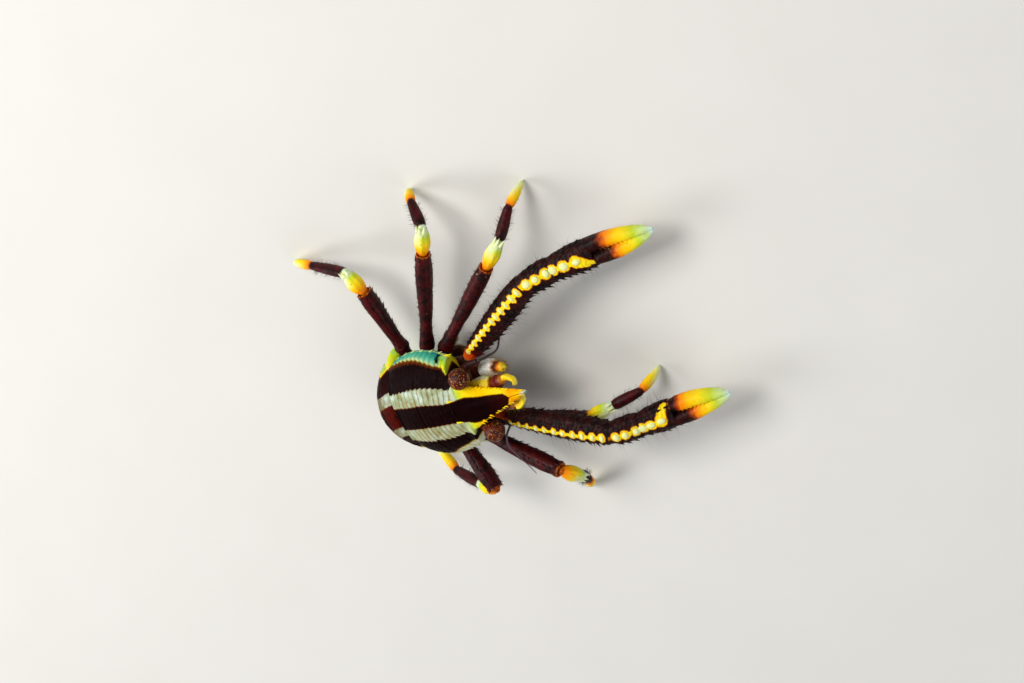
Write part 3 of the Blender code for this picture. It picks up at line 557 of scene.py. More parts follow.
def striped_shell():
    """Lengthwise stripes. Across counts borders from the middle out, along is the place in millimetres.

    Beyond 4 across is the wall under the margin, painted near-black as shade under the margin. Along is below
    0 on the abdomen."""
    shader = Shader("striped_shell", specular=0.03)
    across = shader.wavering(shader.attribute("across"), 0.25, 0.06)
    along = shader.wavering(shader.attribute("along"), 0.5, 0.5)
    # Tint here holds the lines along the striae, where the colour is darkened as painted shade at each
    # stria's step.
    line = shader.attribute("tint")
    dark = shader.mix(shader.noise(0.8), BLACK_SHELL, MAROON_BLACK)
    dark = shader.border(along, 9.5, 13.0, dark, tone(52, 9, 3))
    reddish = shader.times(shader.map_range(along, -0.08, -0.14), shader.map_range(along, -0.42, -0.26))
    reddish = shader.times(reddish, shader.map_range(across, 1.4, 0.9, 0.15, 1.0))
    dark = shader.mix(reddish, dark, tone(70, 9, 3))
    pale = shader.ramp(shader.noise(0.9, 4.0), ((0.30, tone(134, 140, 100)), (0.47, tone(168, 182, 150)),
                                                    (0.66, tone(198, 218, 208))))
    # Towards the animal's right side the pale stripes turn darker and olive: partly an olive tint of their
    # own, partly painted shade on that side.
    pale = shader.mix(shader.map_range(shader.sideways(), 0.2, -0.8, 0.0, 0.45), pale, tone(150, 144, 92))
    # Pale stripes darker grey-green along each stria: painted shade at the steps.
    pale = shader.mix(shader.times(line, 0.45), pale, tone(92, 104, 84))
    pale = shader.mix(shader.map_range(along, -0.14, -0.32, 0.0, 0.8), pale, tone(96, 84, 56))
    golden = shader.ramp(along, ((7.0, PALE_GREEN), (7.6, LIME), (8.2, YELLOW), (9.4, GOLD), (11.4, YELLOW),
                                 (12.1, ORANGE_GOLD), (13.0, GOLD), (13.35, PALE_GREEN)), 0.0, 14.0)
    pale = shader.border(along, 6.9, 7.7, pale, golden)
    # From its top edge down the margin goes pale, turquoise, dark teal, then dark navy and near-black on the
    # wall: painted blue-tinted shade on a pale margin, deepening as it turns under.
    margin = shader.ramp(across, ((3.0, tone(104, 66, 8)), (3.10, tone(186, 180, 90)),
                                  (3.20, tone(176, 208, 150)), (3.42, tone(110, 186, 152)),
                                  (3.70, SHADED_MARGIN_TURQUOISE), (3.98, tone(44, 138, 126)), (4.10, tone(16, 40, 52)),
                                  (4.25, BLACK_SHELL)), 2.9, 4.4)
    # The corner, cream and front ramps also end near-black past 4 across: painted shade on the wall under the
    # margin.
    corner = shader.ramp(across, ((3.0, tone(120, 90, 0)), (3.12, YELLOW), (3.6, tone(186, 206, 30)),
                                  (3.98, tone(150, 206, 60)), (4.06, tone(196, 228, 206)),
                                  (4.18, tone(196, 228, 206)), (4.24, BLACK_SHELL)), 2.9, 4.4)
    # Cream: the same pale margin as it looks in light.
    cream = shader.ramp(across, ((3.0, tone(96, 66, 10)), (3.12, tone(214, 206, 120)),
                                 (3.4, tone(228, 230, 196)), (4.06, tone(214, 224, 196)),
                                 (4.2, BLACK_SHELL)), 2.9, 4.4)
    notch = shader.mask(along, ((5.96, 0), (6.04, 1), (6.20, 1), (6.28, 0)), 5.8, 6.5)
    margin = shader.mix(shader.times(notch, shader.map_range(across, 3.35, 3.5)), margin, BLACK_SHELL)
    margin = shader.border(along, 6.22, 6.35, margin, corner)
    front = shader.ramp(across, ((3.0, tone(120, 90, 0)), (3.2, LIME), (3.9, tone(190, 214, 50)),
                                 (4.06, tone(176, 206, 40)), (4.09, tone(196, 230, 214)),
                                 (4.15, BLACK_SHELL)), 2.9, 4.4)
    margin = shader.border(along, 6.75, 7.0, margin, front)
    # The right side's front takes the lit cream margin, elsewhere the shaded turquoise one: painted light and
    # shade on one margin.
    right = shader.times(shader.map_range(shader.sideways(), -1.0, -1.6), shader.map_range(along, 1.5, 2.5))
    margin = shader.mix(right, margin, cream)
    margin = shader.border(along, -0.02, -0.12, margin, corner)
    # Margin darker teal along each stria: painted shade at the steps.
    margin = shader.mix(shader.times(line, 0.35), margin, tone(20, 90, 84))
    rim = shader.mask(across, ((0.90, 0), (0.98, 1), (2.0, 1), (2.04, 0), (2.88, 0), (3.0, 1)), 0.8, 3.1)
    dark = shader.mix(shader.times(rim, 0.8), dark, tone(120, 52, 4))
    colour = shader.border(across, 0.97, 1.03, dark, pale)
    colour = shader.border(across, 1.97, 2.03, colour, dark)
    colour = shader.border(across, 2.96, 3.03, colour, margin)
    return horny(shader, colour)


def leg_shell():
    """Walking leg: along counts articles from the body out, across is 1 on an article's pale side."""
    shader = Shader("leg_shell", coat=0.02, specular=0.14)
    along = shader.wavering(shader.attribute("along"), 0.20, 0.05)
    dark = shader.ramp(shader.noise(0.9), ((0.35, MAROON_BLACK), (0.62, MAROON)))
    bands = shader.ramp(along, ((0.0, MAROON), (0.985, RED_BROWN), (1.01, ORANGE), (1.16, ORANGE_GOLD),
                                (1.30, GOLD), (1.50, YELLOW), (1.76, LIME), (1.95, PALE_GREEN),
                                (2.02, PALE_GREEN), (2.06, MAROON_BLACK), (3.0, MAROON_BLACK),
                                (3.02, RED_BROWN), (3.07, ORANGE), (3.24, GOLD), (3.50, YELLOW),
                                (3.78, PALE_YELLOW), (4.0, PALE_GREEN)), 0.0, 4.1)
    light = shader.mix(shader.noise(0.5), PALE_YELLOW, tone(214, 232, 206))
    far = shader.mask(along, ((1.35, 0), (1.75, 1), (2.04, 1), (2.1, 0), (3.2, 0), (3.6, 1)), 0.0, 4.1)
    pale_side = shader.times(shader.attribute("across"), far)
    bands = shader.mix(pale_side, bands, light)
    is_dark = shader.mask(along, ((0.0, 1), (0.985, 1), (1.005, 0), (2.02, 0),
                                  (2.06, 1), (2.98, 1), (3.02, 0)), 0.0, 4.1)
    colour = shader.mix(is_dark, bands, dark)
    speck = shader.map_range(shader.cells(1.3), 0.045, 0.03)
    colour = shader.mix(shader.times(speck, 0.8), colour, PALE_YELLOW)
    return horny(shader, colour)


def claw_shell():
    """Claw: along counts articles, across is the distance from the beads as a share of their rim."""
    shader = Shader("claw_shell", coat=0.02, specular=0.12)
    along = shader.wavering(shader.attribute("along"), 0.5, 0.14)
    across = shader.wavering(shader.attribute("across"), 0.22, 0.35)
    dark = shader.ramp(shader.noise(0.8), ((0.35, BLACK_SHELL), (0.62, tone(46, 8, 6))))
    base = shader.ramp(along, ((-0.02, tone(224, 96, 20)), (0.05, tone(196, 56, 10)),
                               (0.10, tone(100, 18, 5)), (0.17, MAROON_BLACK)), -0.1, 0.3)
    dark = shader.border(along, 0.18, 0.08, dark, base)
    band = shader.ramp(across, ((0.0, YELLOW), (0.70, YELLOW), (0.92, GOLD), (1.04, tone(190, 110, 0)),
                                (1.16, tone(90, 34, 2)), (1.3, MAROON_BLACK)), 0.0, 1.5)
    colour = shader.border(across, 1.0, 1.25, band, dark)
    finger = shader.ramp(along, ((3.06, MAROON_BLACK), (3.12, tone(150, 50, 4)), (3.18, ORANGE),
                                 (3.34, GOLD), (3.52, YELLOW), (3.74, LIME), (3.90, tone(206, 232, 150)),
                                 (4.0, ICE)), 3.0, 4.05)
    colour = shader.border(along, 3.05, 3.10, colour, finger)
    bead = shader.mix(shader.noise(0.3), tone(216, 228, 168), tone(240, 236, 150))
    colour = shader.mix(shader.attribute("tint"), colour, bead)
    return horny(shader, colour, 0.2, 0.03)


def eye_surface():
    """Dark faceted eye with fine golden specks, which are painted glints on its facets."""
    shader = Shader("eye_surface", roughness=0.34, specular=0.20)
    base = shader.ramp(shader.noise(0.5), ((0.35, tone(32, 3, 2)), (0.65, tone(92, 14, 4))))
    # Golden specks in scattered patches: painted glints on the facets.
    speck = shader.map_range(shader.cells(0.12), 0.40, 0.24)
    choice = shader.map_range(shader.noise(0.25), 0.47, 0.58)
    colour = shader.mix(shader.times(speck, choice), base, tone(222, 160, 50))
    shader.colour(colour)
    shader.bump(shader.cells(0.075), 0.02)
    return shader.material


def feeler_surface():
    """Feelers: along runs from the root to the tip, tint marks dark parts and across pale ones."""
    shader = Shader("feeler_surface", coat=0.05, specular=0.3)
    along = shader.wavering(shader.attribute("along"), 0.3, 0.08)
    colour = shader.ramp(along, ((0.0, GOLD), (0.28, YELLOW), (0.33, tone(130, 40, 10)),
                                 (0.38, tone(110, 16, 8)), (0.50, tone(110, 30, 10)),
                                 (0.56, tone(200, 130, 30)), (0.60, GOLD), (0.8, YELLOW),
                                 (1.0, tone(196, 204, 120))))
    colour = shader.mix(shader.attribute("tint"), colour, tone(44, 8, 6))
    colour = shader.mix(shader.attribute("across"), colour, tone(214, 230, 200))
    return horny(shader, colour)


def flagellum_surface():
    shader = Shader("flagellum_surface", coat=0.2)
    along = shader.attribute("along")
    colour = shader.ramp(along, ((0.0, tone(46, 22, 26)), (0.3, tone(62, 46, 60)), (1.0, tone(80, 66, 86))))
    shader.colour(shader.mix(shader.attribute("tint"), colour, tone(40, 24, 30)))
    shader.bump(shader.noise(0.1), 0.01)
    return shader.material


def mouth_surface():
    """Mouth limbs: white with a dark band and a yellow end."""
    shader = Shader("mouth_surface", coat=0.1)
    along = shader.wavering(shader.attribute("along"), 0.3, 0.08)
    colour = shader.ramp(along, ((0.0, MAROON), (0.03, tone(90, 26, 16)), (0.08, tone(206, 206, 190)),
                                 (0.54, tone(250, 250, 244)), (0.58, tone(226, 170, 120)), (0.61, MAROON),
                                 (0.70, tone(90, 16, 6)), (0.75, ORANGE), (0.86, GOLD), (1.0, YELLOW)))
    return horny(shader, colour)


def under_surface():
    """Underside of the body: red-brown plates with paler joints, and almost black roots of the legs."""
    shader = Shader("under_surface", coat=0.05, specular=0.3)
    colour = shader.ramp(shader.noise(1.2), ((0.3, tone(46, 12, 8)), (0.55, tone(86, 32, 18)),
                                             (0.75, tone(120, 60, 34))))
    colour = shader.mix(shader.attribute("tint"), colour, tone(176, 130, 80))
    colour = shader.mix(shader.attribute("across"), colour, MAROON_BLACK)
    return horny(shader, colour, 0.25, 0.03)


def tail_surface():
    """Tail fan: dark at the root, golden brown further out and pale yellow at the edge."""
    shader = Shader("tail_surface", coat=0.2)
    along = shader.wavering(shader.attribute("along"), 0.4, 0.25)
    colour = shader.ramp(along, ((0.0, MAROON_BLACK), (0.45, tone(44, 8, 5)), (0.8, tone(86, 26, 8)),
                                 (0.94, tone(140, 84, 24)), (1.0, PALE_YELLOW)))
    return horny(shader, colour)


def bristle_surface():
    """Bristles: along is how pale each one is, across a random value for it."""
    shader = Shader("bristle_surface", roughness=0.65, specular=0.08)
    colour = shader.mix(shader.attribute("across"), tone(14, 4, 3), tone(56, 22, 10))
    pale = shader.mix(shader.attribute("across"), tone(200, 140, 40), tone(226, 200, 120))
    shader.colour(shader.mix(shader.attribute("along"), colour, pale))
    return shader.material


MATERIALS = {
    "striped": striped_shell(),
    "leg": leg_shell(),
    "claw": claw_shell(),
    "eye": eye_surface(),
    "feeler": feeler_surface(),
    "flagellum": flagellum_surface(),
    "mouth": mouth_surface(),
    "under": under_surface(),
    "tail": tail_surface(),
    "bristle": bristle_surface(),
}


# Carapace

# Borders of the stripes at places along the body: the middle, then from it the half-widths of the
# dark middle stripe and of the pale stripe beside it, and the outer dark stripe's border
STRIPES = ((-4.0, 0.00, 1.20, 2.26, 4.05), (0.0, -0.20, 1.18, 2.36, 4.20), (1.4, -0.04, 1.17, 2.52, 4.66),
           (2.6, 0.06, 1.17, 2.66, 4.84), (4.0, 0.12, 1.16, 2.70, 4.80), (5.3, 0.04, 1.08, 2.60, 4.44),
           (6.2, -0.04, 1.06, 2.44, 4.10), (7.0, -0.10, 1.14, 2.26, 3.75), (7.4, -0.11, 1.19, 2.60, 3.65),
           (8.0, -0.24, 1.36, 4.00, 5.00), (9.05, -0.40, 1.25, 4.00, 5.00), (10.1, -0.40, 1.10, 4.00, 5.00),
           (11.0, -0.27, 0.82, 4.00, 5.00), (11.6, -0.12, 0.52, 4.00, 5.00), (12.0, 0.0, 0.02, 4.00, 5.00),
           (14.0, 0.0, 0.02, 4.00, 5.00))
# How far the striae draw the three borders into teeth
STRIPE_TEETH = (0.09, 0.20, 0.10)
# How much nearer to the middle the outer border lies on the right side, towards the front
RIGHT_MARGIN_WIDER = 0.42
STRIA_PITCH = 0.50
STRIA_DEPTH = 0.070
PALE_STRIAE, DARK_STRIAE = 0.75, 0.22
STRIA_BOW = 1.05
STRIAE = (0.62, 7.00)
# The margin's spines stand at this share of the half-width
MARGIN_SPINE_SHARE = 0.985
# A spine of the margin and the small ones beside it: how far ahead, share of its length, height, radius
MARGIN_SPINE_GROUP = ((0.0, 1.0, 0.12, 0.19), (-0.48, 0.5, 0.10, 0.13), (-0.24, 0.5, 0.10, 0.13),
                      (0.24, 0.5, 0.10, 0.13))
# Where spines take their colour, as counts of borders on the margin and on the beak, and as places
# along the body
MARGIN_COLOUR, BEAK_COLOUR = 3.16, 1.6
BEAK_COLOUR_FROM, BROW_COLOUR_AT = 9.0, 8.0
# How far under the skin a spine of the carapace starts, and how many degrees it rises
SHELL_SPINE_SINK = 0.25
SHELL_SPINE_RISE = 10.0


def stripe_value(x, y, half_width, phase=0.5):
    """Counts the stripes' borders from the middle outwards. The striae draw them into teeth."""
    x = np.broadcast_to(x, np.shape(y))
    middle, dark, pale, outer = np.moveaxis(smooth_rows(STRIPES, x), -1, 0)
    outer = outer - RIGHT_MARGIN_WIDER * smooth_step(3.6, 5.0, x) * (y < 0.0)
    distance = np.abs(y - middle)
    tooth = phase - 0.5
    half_width = np.maximum(half_width, distance * 0.999)
    borders = (np.zeros_like(dark), dark - STRIPE_TEETH[0] * tooth, pale + STRIPE_TEETH[1] * tooth,
               outer - STRIPE_TEETH[2] * tooth, np.maximum(half_width, outer + 0.05))
    value = np.zeros_like(distance)
    for low, high in zip(borders, borders[1:]):
        value += np.clip((distance - low) / np.maximum(high - low, 0.02), 0.0, 1.0)
    return value


def is_pale(value):
    """Whether a count of borders lies on a pale stripe or on the margin."""
    return ((value > 1.0) & (value < 2.0)) | (value > 3.0)


def shell_sizes(x):
    """Half-width and top of the carapace and rostrum, with a rounded front beside the rostrum."""
    back = smooth_rows(CARAPACE_OUTLINE, x)
    beak = smooth_rows(ROSTRUM_OUTLINE, x)
    start = CARAPACE_OUTLINE[-1][0]
    share = np.clip((x - start) / FRONT_ROUNDING, 0.0, 1.0)
    front = beak[..., 0] + (back[..., 0] - beak[..., 0]) * np.sqrt(np.maximum(1.0 - share ** 1.7, 0.0))
    half_width = np.where(x < start, back[..., 0], front)
    blend = smooth_step(start - 0.1, start + FRONT_ROUNDING, x)
    return half_width, back[..., 1] * (1 - blend) + beak[..., 1] * blend, blend


def shell_point(x, y):
    """A place on top of the carapace or rostrum, in the body's frame."""
    half_width, top, blend = shell_sizes(np.asarray(x, dtype=float))
    edge = blend * (top - ROSTRUM_EDGE_DROP)
    across = np.clip(np.abs(y) / half_width, 0.0, 1.0)
    z = edge + (top - edge) * np.sqrt(1.0 - across ** 2) ** 0.85
    return np.stack((np.broadcast_to(x, np.shape(z)), np.broadcast_to(y, np.shape(z)), z), axis=-1)


def stria_bow(share):
    """How far a stria lies forward at a share of the half-width."""
    return STRIA_BOW * np.abs(share) ** 1.6


def stria_waver(x, y):
    return 0.10 * noise(np.stack((x * 0.3, y, np.zeros_like(x)), axis=-1), 1.1, 3)


def stria_phase(x, y, half_width):
    """How far a place is between two striae, from 0 behind one to 1 at its front."""
    place = (x - stria_bow(y / half_width) - stria_waver(x, y) - STRIAE[0]) / STRIA_PITCH
    return place - np.floor(place)


def stria_height(phase):
    return np.where(phase < 0.84, (phase / 0.84) ** 1.3, 1.0 - smooth_step(0.84, 1.0, phase))


def carapace_grid():
    x = np.concatenate((np.arange(0.30, 6.6, 0.045), np.arange(6.6, 7.55, 0.02),
                        np.arange(7.55, 13.5, 0.05), (13.5,)))
    half_width, top, blend = shell_sizes(x)
    edge = blend * (top - ROSTRUM_EDGE_DROP)
    thickness = ROSTRUM_DEPTH * (1.0 - ROSTRUM_THINNING * np.clip((x - 7.34) / 6.16, 0, 1))
    floor = CARAPACE_FLOOR * (1 - blend) + (top - thickness) * blend
    angle = np.linspace(0.0, np.pi, 191)
    arch_y = np.cos(angle)
    arch_z = np.sin(angle) ** 0.85
    y = half_width[:, None] * arch_y
    z = edge[:, None] + (top - edge)[:, None] * arch_z
    wall = np.linspace(0.0, 1.0, 13)[1:]
    down_y = -1.0 + (1.0 - FOLD_IN) * wall ** 1.6
    down_z = wall
    flat = np.linspace(-FOLD_IN, FOLD_IN, 25)[1:-1]
    under_y = np.concatenate((down_y, flat, -down_y[::-1]))
    under_z = np.concatenate((down_z, np.ones(len(flat)), down_z[::-1]))
    y = np.hstack((y, half_width[:, None] * under_y))
    z = np.hstack((z, edge[:, None] + (floor - edge)[:, None] * under_z))
    grid = np.stack((np.repeat(x[:, None], y.shape[1], axis=1), y, z), axis=-1)
    return grid, len(angle)


def build_carapace():
    surface = Surface()
    grid, arch = carapace_grid()
    x, y = grid[..., 0], grid[..., 1]
    half_width = shell_sizes(x[:, 0])[0][:, None]
    phase = stria_phase(x, y, half_width)
    on_top = np.zeros(x.shape)
    on_top[:, :arch] = 1.0
    fade = smooth_step(0.45, 0.8, x) * (1.0 - 0.85 * smooth_step(6.7, 7.3, x)) * on_top
    strength = 0.75 + 0.35 * noise(grid, 1.3, 5)
    value = stripe_value(x, y, half_width, 0.5 + (phase - 0.5) * np.clip(fade * 1.6, 0.25, 1.0))
    share = np.where(is_pale(value), PALE_STRIAE, DARK_STRIAE)
    height = STRIA_DEPTH * (stria_height(phase) - 0.8) * strength * fade * share
    groove = hump(np.abs(y) - 0.35 * (x - 4.6) ** 2, 1.9, 0.32) * smooth_step(3.4, 4.2, x)
    groove *= 1.0 - smooth_step(5.6, 6.4, x)
    neck = hump(x - 0.16 * y ** 2 / 3.0, 3.3, 0.22) * (1.0 - smooth_step(3.0, 4.4, np.abs(y)))
    height -= (0.06 * groove + 0.07 * neck) * on_top
    keel = hump(y, 0.0, 0.35) * smooth_step(7.6, 8.6, x) * (1.0 - smooth_step(12.6, 13.4, x))
    height += 0.10 * keel * on_top
    rim = hump(np.abs(y) / half_width, 0.965, 0.018) * (1.0 - smooth_step(6.6, 7.1, x))
    height += (0.05 * rim + 0.09 * hump(x, 0.47, 0.09)) * on_top
    height += 0.012 * noise(grid, 0.16, 7) * on_top + 0.02 * noise(grid, 0.5, 8)
    placed = raised(body(grid), height)
    # A line at each stria's step, passed on as tint, which the shader darkens: painted shade at the steps.
    line = hump(phase, 0.90, 0.06) * fade
    # The wall and the underside get counts past 4, which the shader paints near-black as shade under the
    # margin, with more shade towards the rear.
    wall = np.clip(-grid[..., 2], 0.0, 1.0) * (x < 7.3)
    rear_under_shade = 0.3 * (1.0 - smooth_step(0.7, 1.6, x))
    value = value + np.where((wall > 0.0) | (on_top == 0.0), 0.05 + wall + rear_under_shade, 0.0)
    surface.add_tube(placed, x, value, line)
    add_carapace_spines(surface)
    surface.finish("carapace_shell_skin", "striped", "carapace_shell", "carapace")


def add_carapace_spines(surface):
    random = np.random.default_rng(SEED)
    for side in SIDES.values():
        for x, heading, length in MARGIN_SPINES:
            for step, share, level, radius in MARGIN_SPINE_GROUP:
                near = x + step
                place = (near, float(shell_sizes(np.array(near))[0]) * MARGIN_SPINE_SHARE * side, level)
                values = (near, MARGIN_COLOUR, 0.0)
                add_spine(surface, random, place, heading * side, length * share, values, radius)
        for x, heading, length in ROSTRUM_TEETH:
            half_width, top, _ = shell_sizes(np.array(x))
            place = (x, float(half_width) * 0.95 * side, float(top) - ROSTRUM_EDGE_DROP * 0.8)
            length *= 1.0 if side > 0 else 0.72
            values = (max(x, BEAK_COLOUR_FROM), BEAK_COLOUR, 0.0)
            add_spine(surface, random, place, heading * side, length, values, 0.17)
            place = (x + 0.38, float(half_width) * 0.90 * side, float(top) - ROSTRUM_EDGE_DROP * 0.8)
            add_spine(surface, random, place, heading * side, length * 0.7, values, 0.14)
        for x, y, z, heading, length in BROW_SPINES:
            values = (BROW_COLOUR_AT, BEAK_COLOUR, 0.0)
            add_spine(surface, random, (x, y * side, z), heading * side, length, values, 0.15)


def add_spine(surface, random, place, heading, length, values, radius):
    """One spine of the body that points forward and outward and curves forward."""
    direction = body_direction(heading_vector(heading, SHELL_SPINE_RISE))
    length *= random.uniform(0.9, 1.1)
    root = body(place) - direction * SHELL_SPINE_SINK
    bend = body_direction((0.18 * length, 0.0, 0.02 * length))
    surface.add_cones(root, direction, length + SHELL_SPINE_SINK, radius, values, sides=12, rings=8,
                      bend=bend)


def carapace_bristles():
    """Short bristles along each stria, pointing forward."""
    bristles = Bristles(1)
    random = bristles.random
    count = 5200
    y_share = random.uniform(-0.985, 0.985, count)
    number = random.integers(0, int((STRIAE[1] - STRIAE[0]) / STRIA_PITCH) + 1, count)
    x = STRIAE[0] + (number + 0.86) * STRIA_PITCH
    half_width = shell_sizes(np.minimum(x, 7.0))[0]
    y = y_share * half_width
    x = x + stria_bow(y_share)
    x = x + stria_waver(x, y)
    kept = x < 7.05
    x, y, y_share = x[kept], y[kept], y_share[kept]
    half_width = shell_sizes(x)[0]
    y = y_share * half_width
    roots = shell_point(x, y)
    ahead = np.array((1.0, 0.0, 0.0))
    outward = unit(np.stack((np.zeros(len(x)), y, np.full(len(x), 2.2)), axis=-1))
    directions = body_direction(unit(outward * 0.35 + ahead))
    pale = is_pale(stripe_value(x, y, half_width))
    places = np.stack((x / 15.0, y / 12.0 + 0.5), axis=-1)
    bristles.add(body(roots), directions, 0.15, places, pale * 0.9, radius=0.011)
    bristles.finish("bristles_carapace", "carapace_shell")


# Abdomen and tail fan

def curl_frame(travel):
    """Centre and outward direction along the abdomen's curl, in x and z."""
    curl = math.radians(sum(SOMITE_TURNS)) * CURL_RADIUS
    turn = np.minimum(travel, curl) / CURL_RADIUS
    outward = np.stack((-np.sin(turn), np.cos(turn)), axis=-1)
    along = np.stack((-np.cos(turn), -np.sin(turn)), axis=-1)
    beyond = np.maximum(travel - curl, 0.0)
    centre = np.array(CURL_CENTRE) + outward * CURL_RADIUS + along * beyond[..., None]
    return centre, outward


def somite_grid(start, length, half_width, edge, rise):
    """One ring of the abdomen. Its front slips under the ring before it, and its sides are rounded flaps."""
    share = np.concatenate((np.linspace(-0.10, 0.0, 6), np.linspace(0.02, 0.96, 44),
                            (0.975, 0.99, 1.0, 1.0, 1.0)))
    fold = np.concatenate((np.zeros(len(share) - 3), (0.04, 0.12, 0.24)))
    travel = start + share * length
    centre, outward = curl_frame(np.maximum(travel, 0.0))
    angle = np.linspace(0.0, np.pi, 121)
    y_arch, z_arch = np.cos(angle), np.sin(angle) ** ARCH_POWER
    tuck = 1.0 - smooth_step(-0.10, 0.16, share)
    tail = smooth_step(0.90, 1.0, share) * 0.06 + fold
    narrowing = 1.0 - 0.045 * tuck - 0.35 * fold
    lift = -0.26 * tuck - tail
    for place in (0.36, 0.62, 0.88):
        phase = (share - place + 0.24) / 0.24
        inside = (phase > 0.0) & (phase < 1.0)
        bulge = 0.07 * (1.0 - smooth_step(0.72, 1.0, phase)) * np.clip(phase, 0, 1) ** 0.8
        lift = lift + np.where(inside, bulge, 0.0)
    flap = edge * (0.78 + 0.22 * np.sqrt(np.clip(1.0 - (2.0 * share - 1.0) ** 2, 0.0, 1.0)))[:, None]
    y = half_width * narrowing[:, None] * y_arch
    height = -flap + (flap + rise + lift[:, None]) * z_arch
    under = np.linspace(-1.0, 1.0, 41)[1:-1]
    y_under = half_width * narrowing[:, None] * under * 0.97
    hollow = -flap + (flap - 0.55) * (1.0 - under ** 4)
    y = np.hstack((y, y_under))
    height = np.hstack((height, hollow))
    x = centre[:, None, 0] + outward[:, None, 0] * height
    z = centre[:, None, 1] + outward[:, None, 1] * height
    return np.stack((x, y, z), axis=-1), travel, len(angle)


def add_side_flaps(surface):
    """The first ring's side flaps, which hang under the rear corners of the carapace."""
    for side in SIDES.values():
        points = smooth_path(mirrored(FLAP_PATH, side), 12)
        share = np.linspace(0.0, 1.0, len(points))
        radii = smooth_rows(FLAP_RADII, share)[..., 0]
        grid = path_grid(points, radii, 48, 0.8)
        surface.add_tube(raised(grid, 0.03 * noise(grid, 0.4, 19)), -0.14, 3.1 + 0.95 * share[:, None])


def build_abdomen():
    lengths = [math.radians(turn) * CURL_RADIUS for turn in SOMITE_TURNS] + list(LAST_SOMITE_LENGTHS)
    bristles = Bristles(2)
    random = bristles.random
    start = 0.0
    for number, length in enumerate(lengths):
        width, edge = SOMITE_WIDTHS[number], SOMITE_EDGES[number]
        grid, travel, arch = somite_grid(start, length, width, edge, SOMITE_RISES[number])
        grid[..., 1] += SOMITE_SHIFTS[number]
        y = grid[..., 1] + STRIPE_SWING * smooth_step(0.0, 2.5, travel)[:, None]
        placed = raised(body(grid), 0.018 * noise(grid, 0.35, 12 + number))
        shrink = width / SOMITE_WIDTHS[1]
        value = stripe_value(np.full(y.shape, -4.0), y / shrink, 4.5)
        value[:, arch:] = 0.6
        surface = Surface()
        surface.add_tube(placed, -0.12 - travel[:, None] * 0.16, value)
        if number == 0:
            add_side_flaps(surface)
        ring = str(number + 1)
        surface.finish("abdomen_skin_" + ring, "striped", "abdomen_shell", "abdomen_" + ring)
        count = 500
        row = random.choice((20, 33, 46), count)
        column = random.integers(2, arch - 2, count)
        roots = placed[row, column]
        normals = grid_normals(placed)[row, column]
        ahead = unit(placed[np.minimum(row + 2, len(placed) - 1), column] - roots)
        places = np.stack((column / arch * 0.9 + 0.02, (number + row / 55.0) / 6.2), axis=-1)
        bristles.add(roots, ahead + normals * 0.5, 0.16, places, is_pale(value[row, column]) * 0.9,
                     radius=0.012)
        start += length
    bristles.finish("bristles_abdomen", "abdomen_shell")


def plate_grid(outline, level, thickness, columns=96, rows=26):
    """A thin plate with a rounded edge, from its outline's x and y, slightly domed."""
    outline = np.array(outline)
    closed = smooth_path(np.vstack((outline, outline[:1])), 12)[:-1]
    middle = closed.mean(axis=0)
    turn = np.arange(columns) / columns
    steps = np.diff(np.vstack((closed, closed[:1])), axis=0)
    distance = np.concatenate(((0.0,), np.cumsum(np.linalg.norm(steps, axis=1))))
    distance /= distance[-1]
    ring = [np.interp(turn, distance, np.append(closed[:, k], closed[0, k])) for k in (0, 1)]
    ring = np.stack(ring, axis=-1)
    angle = np.linspace(-np.pi / 2, np.pi / 2, rows)[1:-1]
    share = np.cos(angle) ** 0.5
    grid = np.zeros((len(angle), columns, 3))
    grid[..., :2] = middle + (ring - middle)[None] * share[:, None, None]
    radius = share[:, None] * np.ones(columns)
    profile = np.sqrt(np.maximum(1.0 - radius ** 4, 0.0))
    grid[..., 2] = level + np.sign(angle)[:, None] * thickness / 2 * profile
    return grid, ring, middle


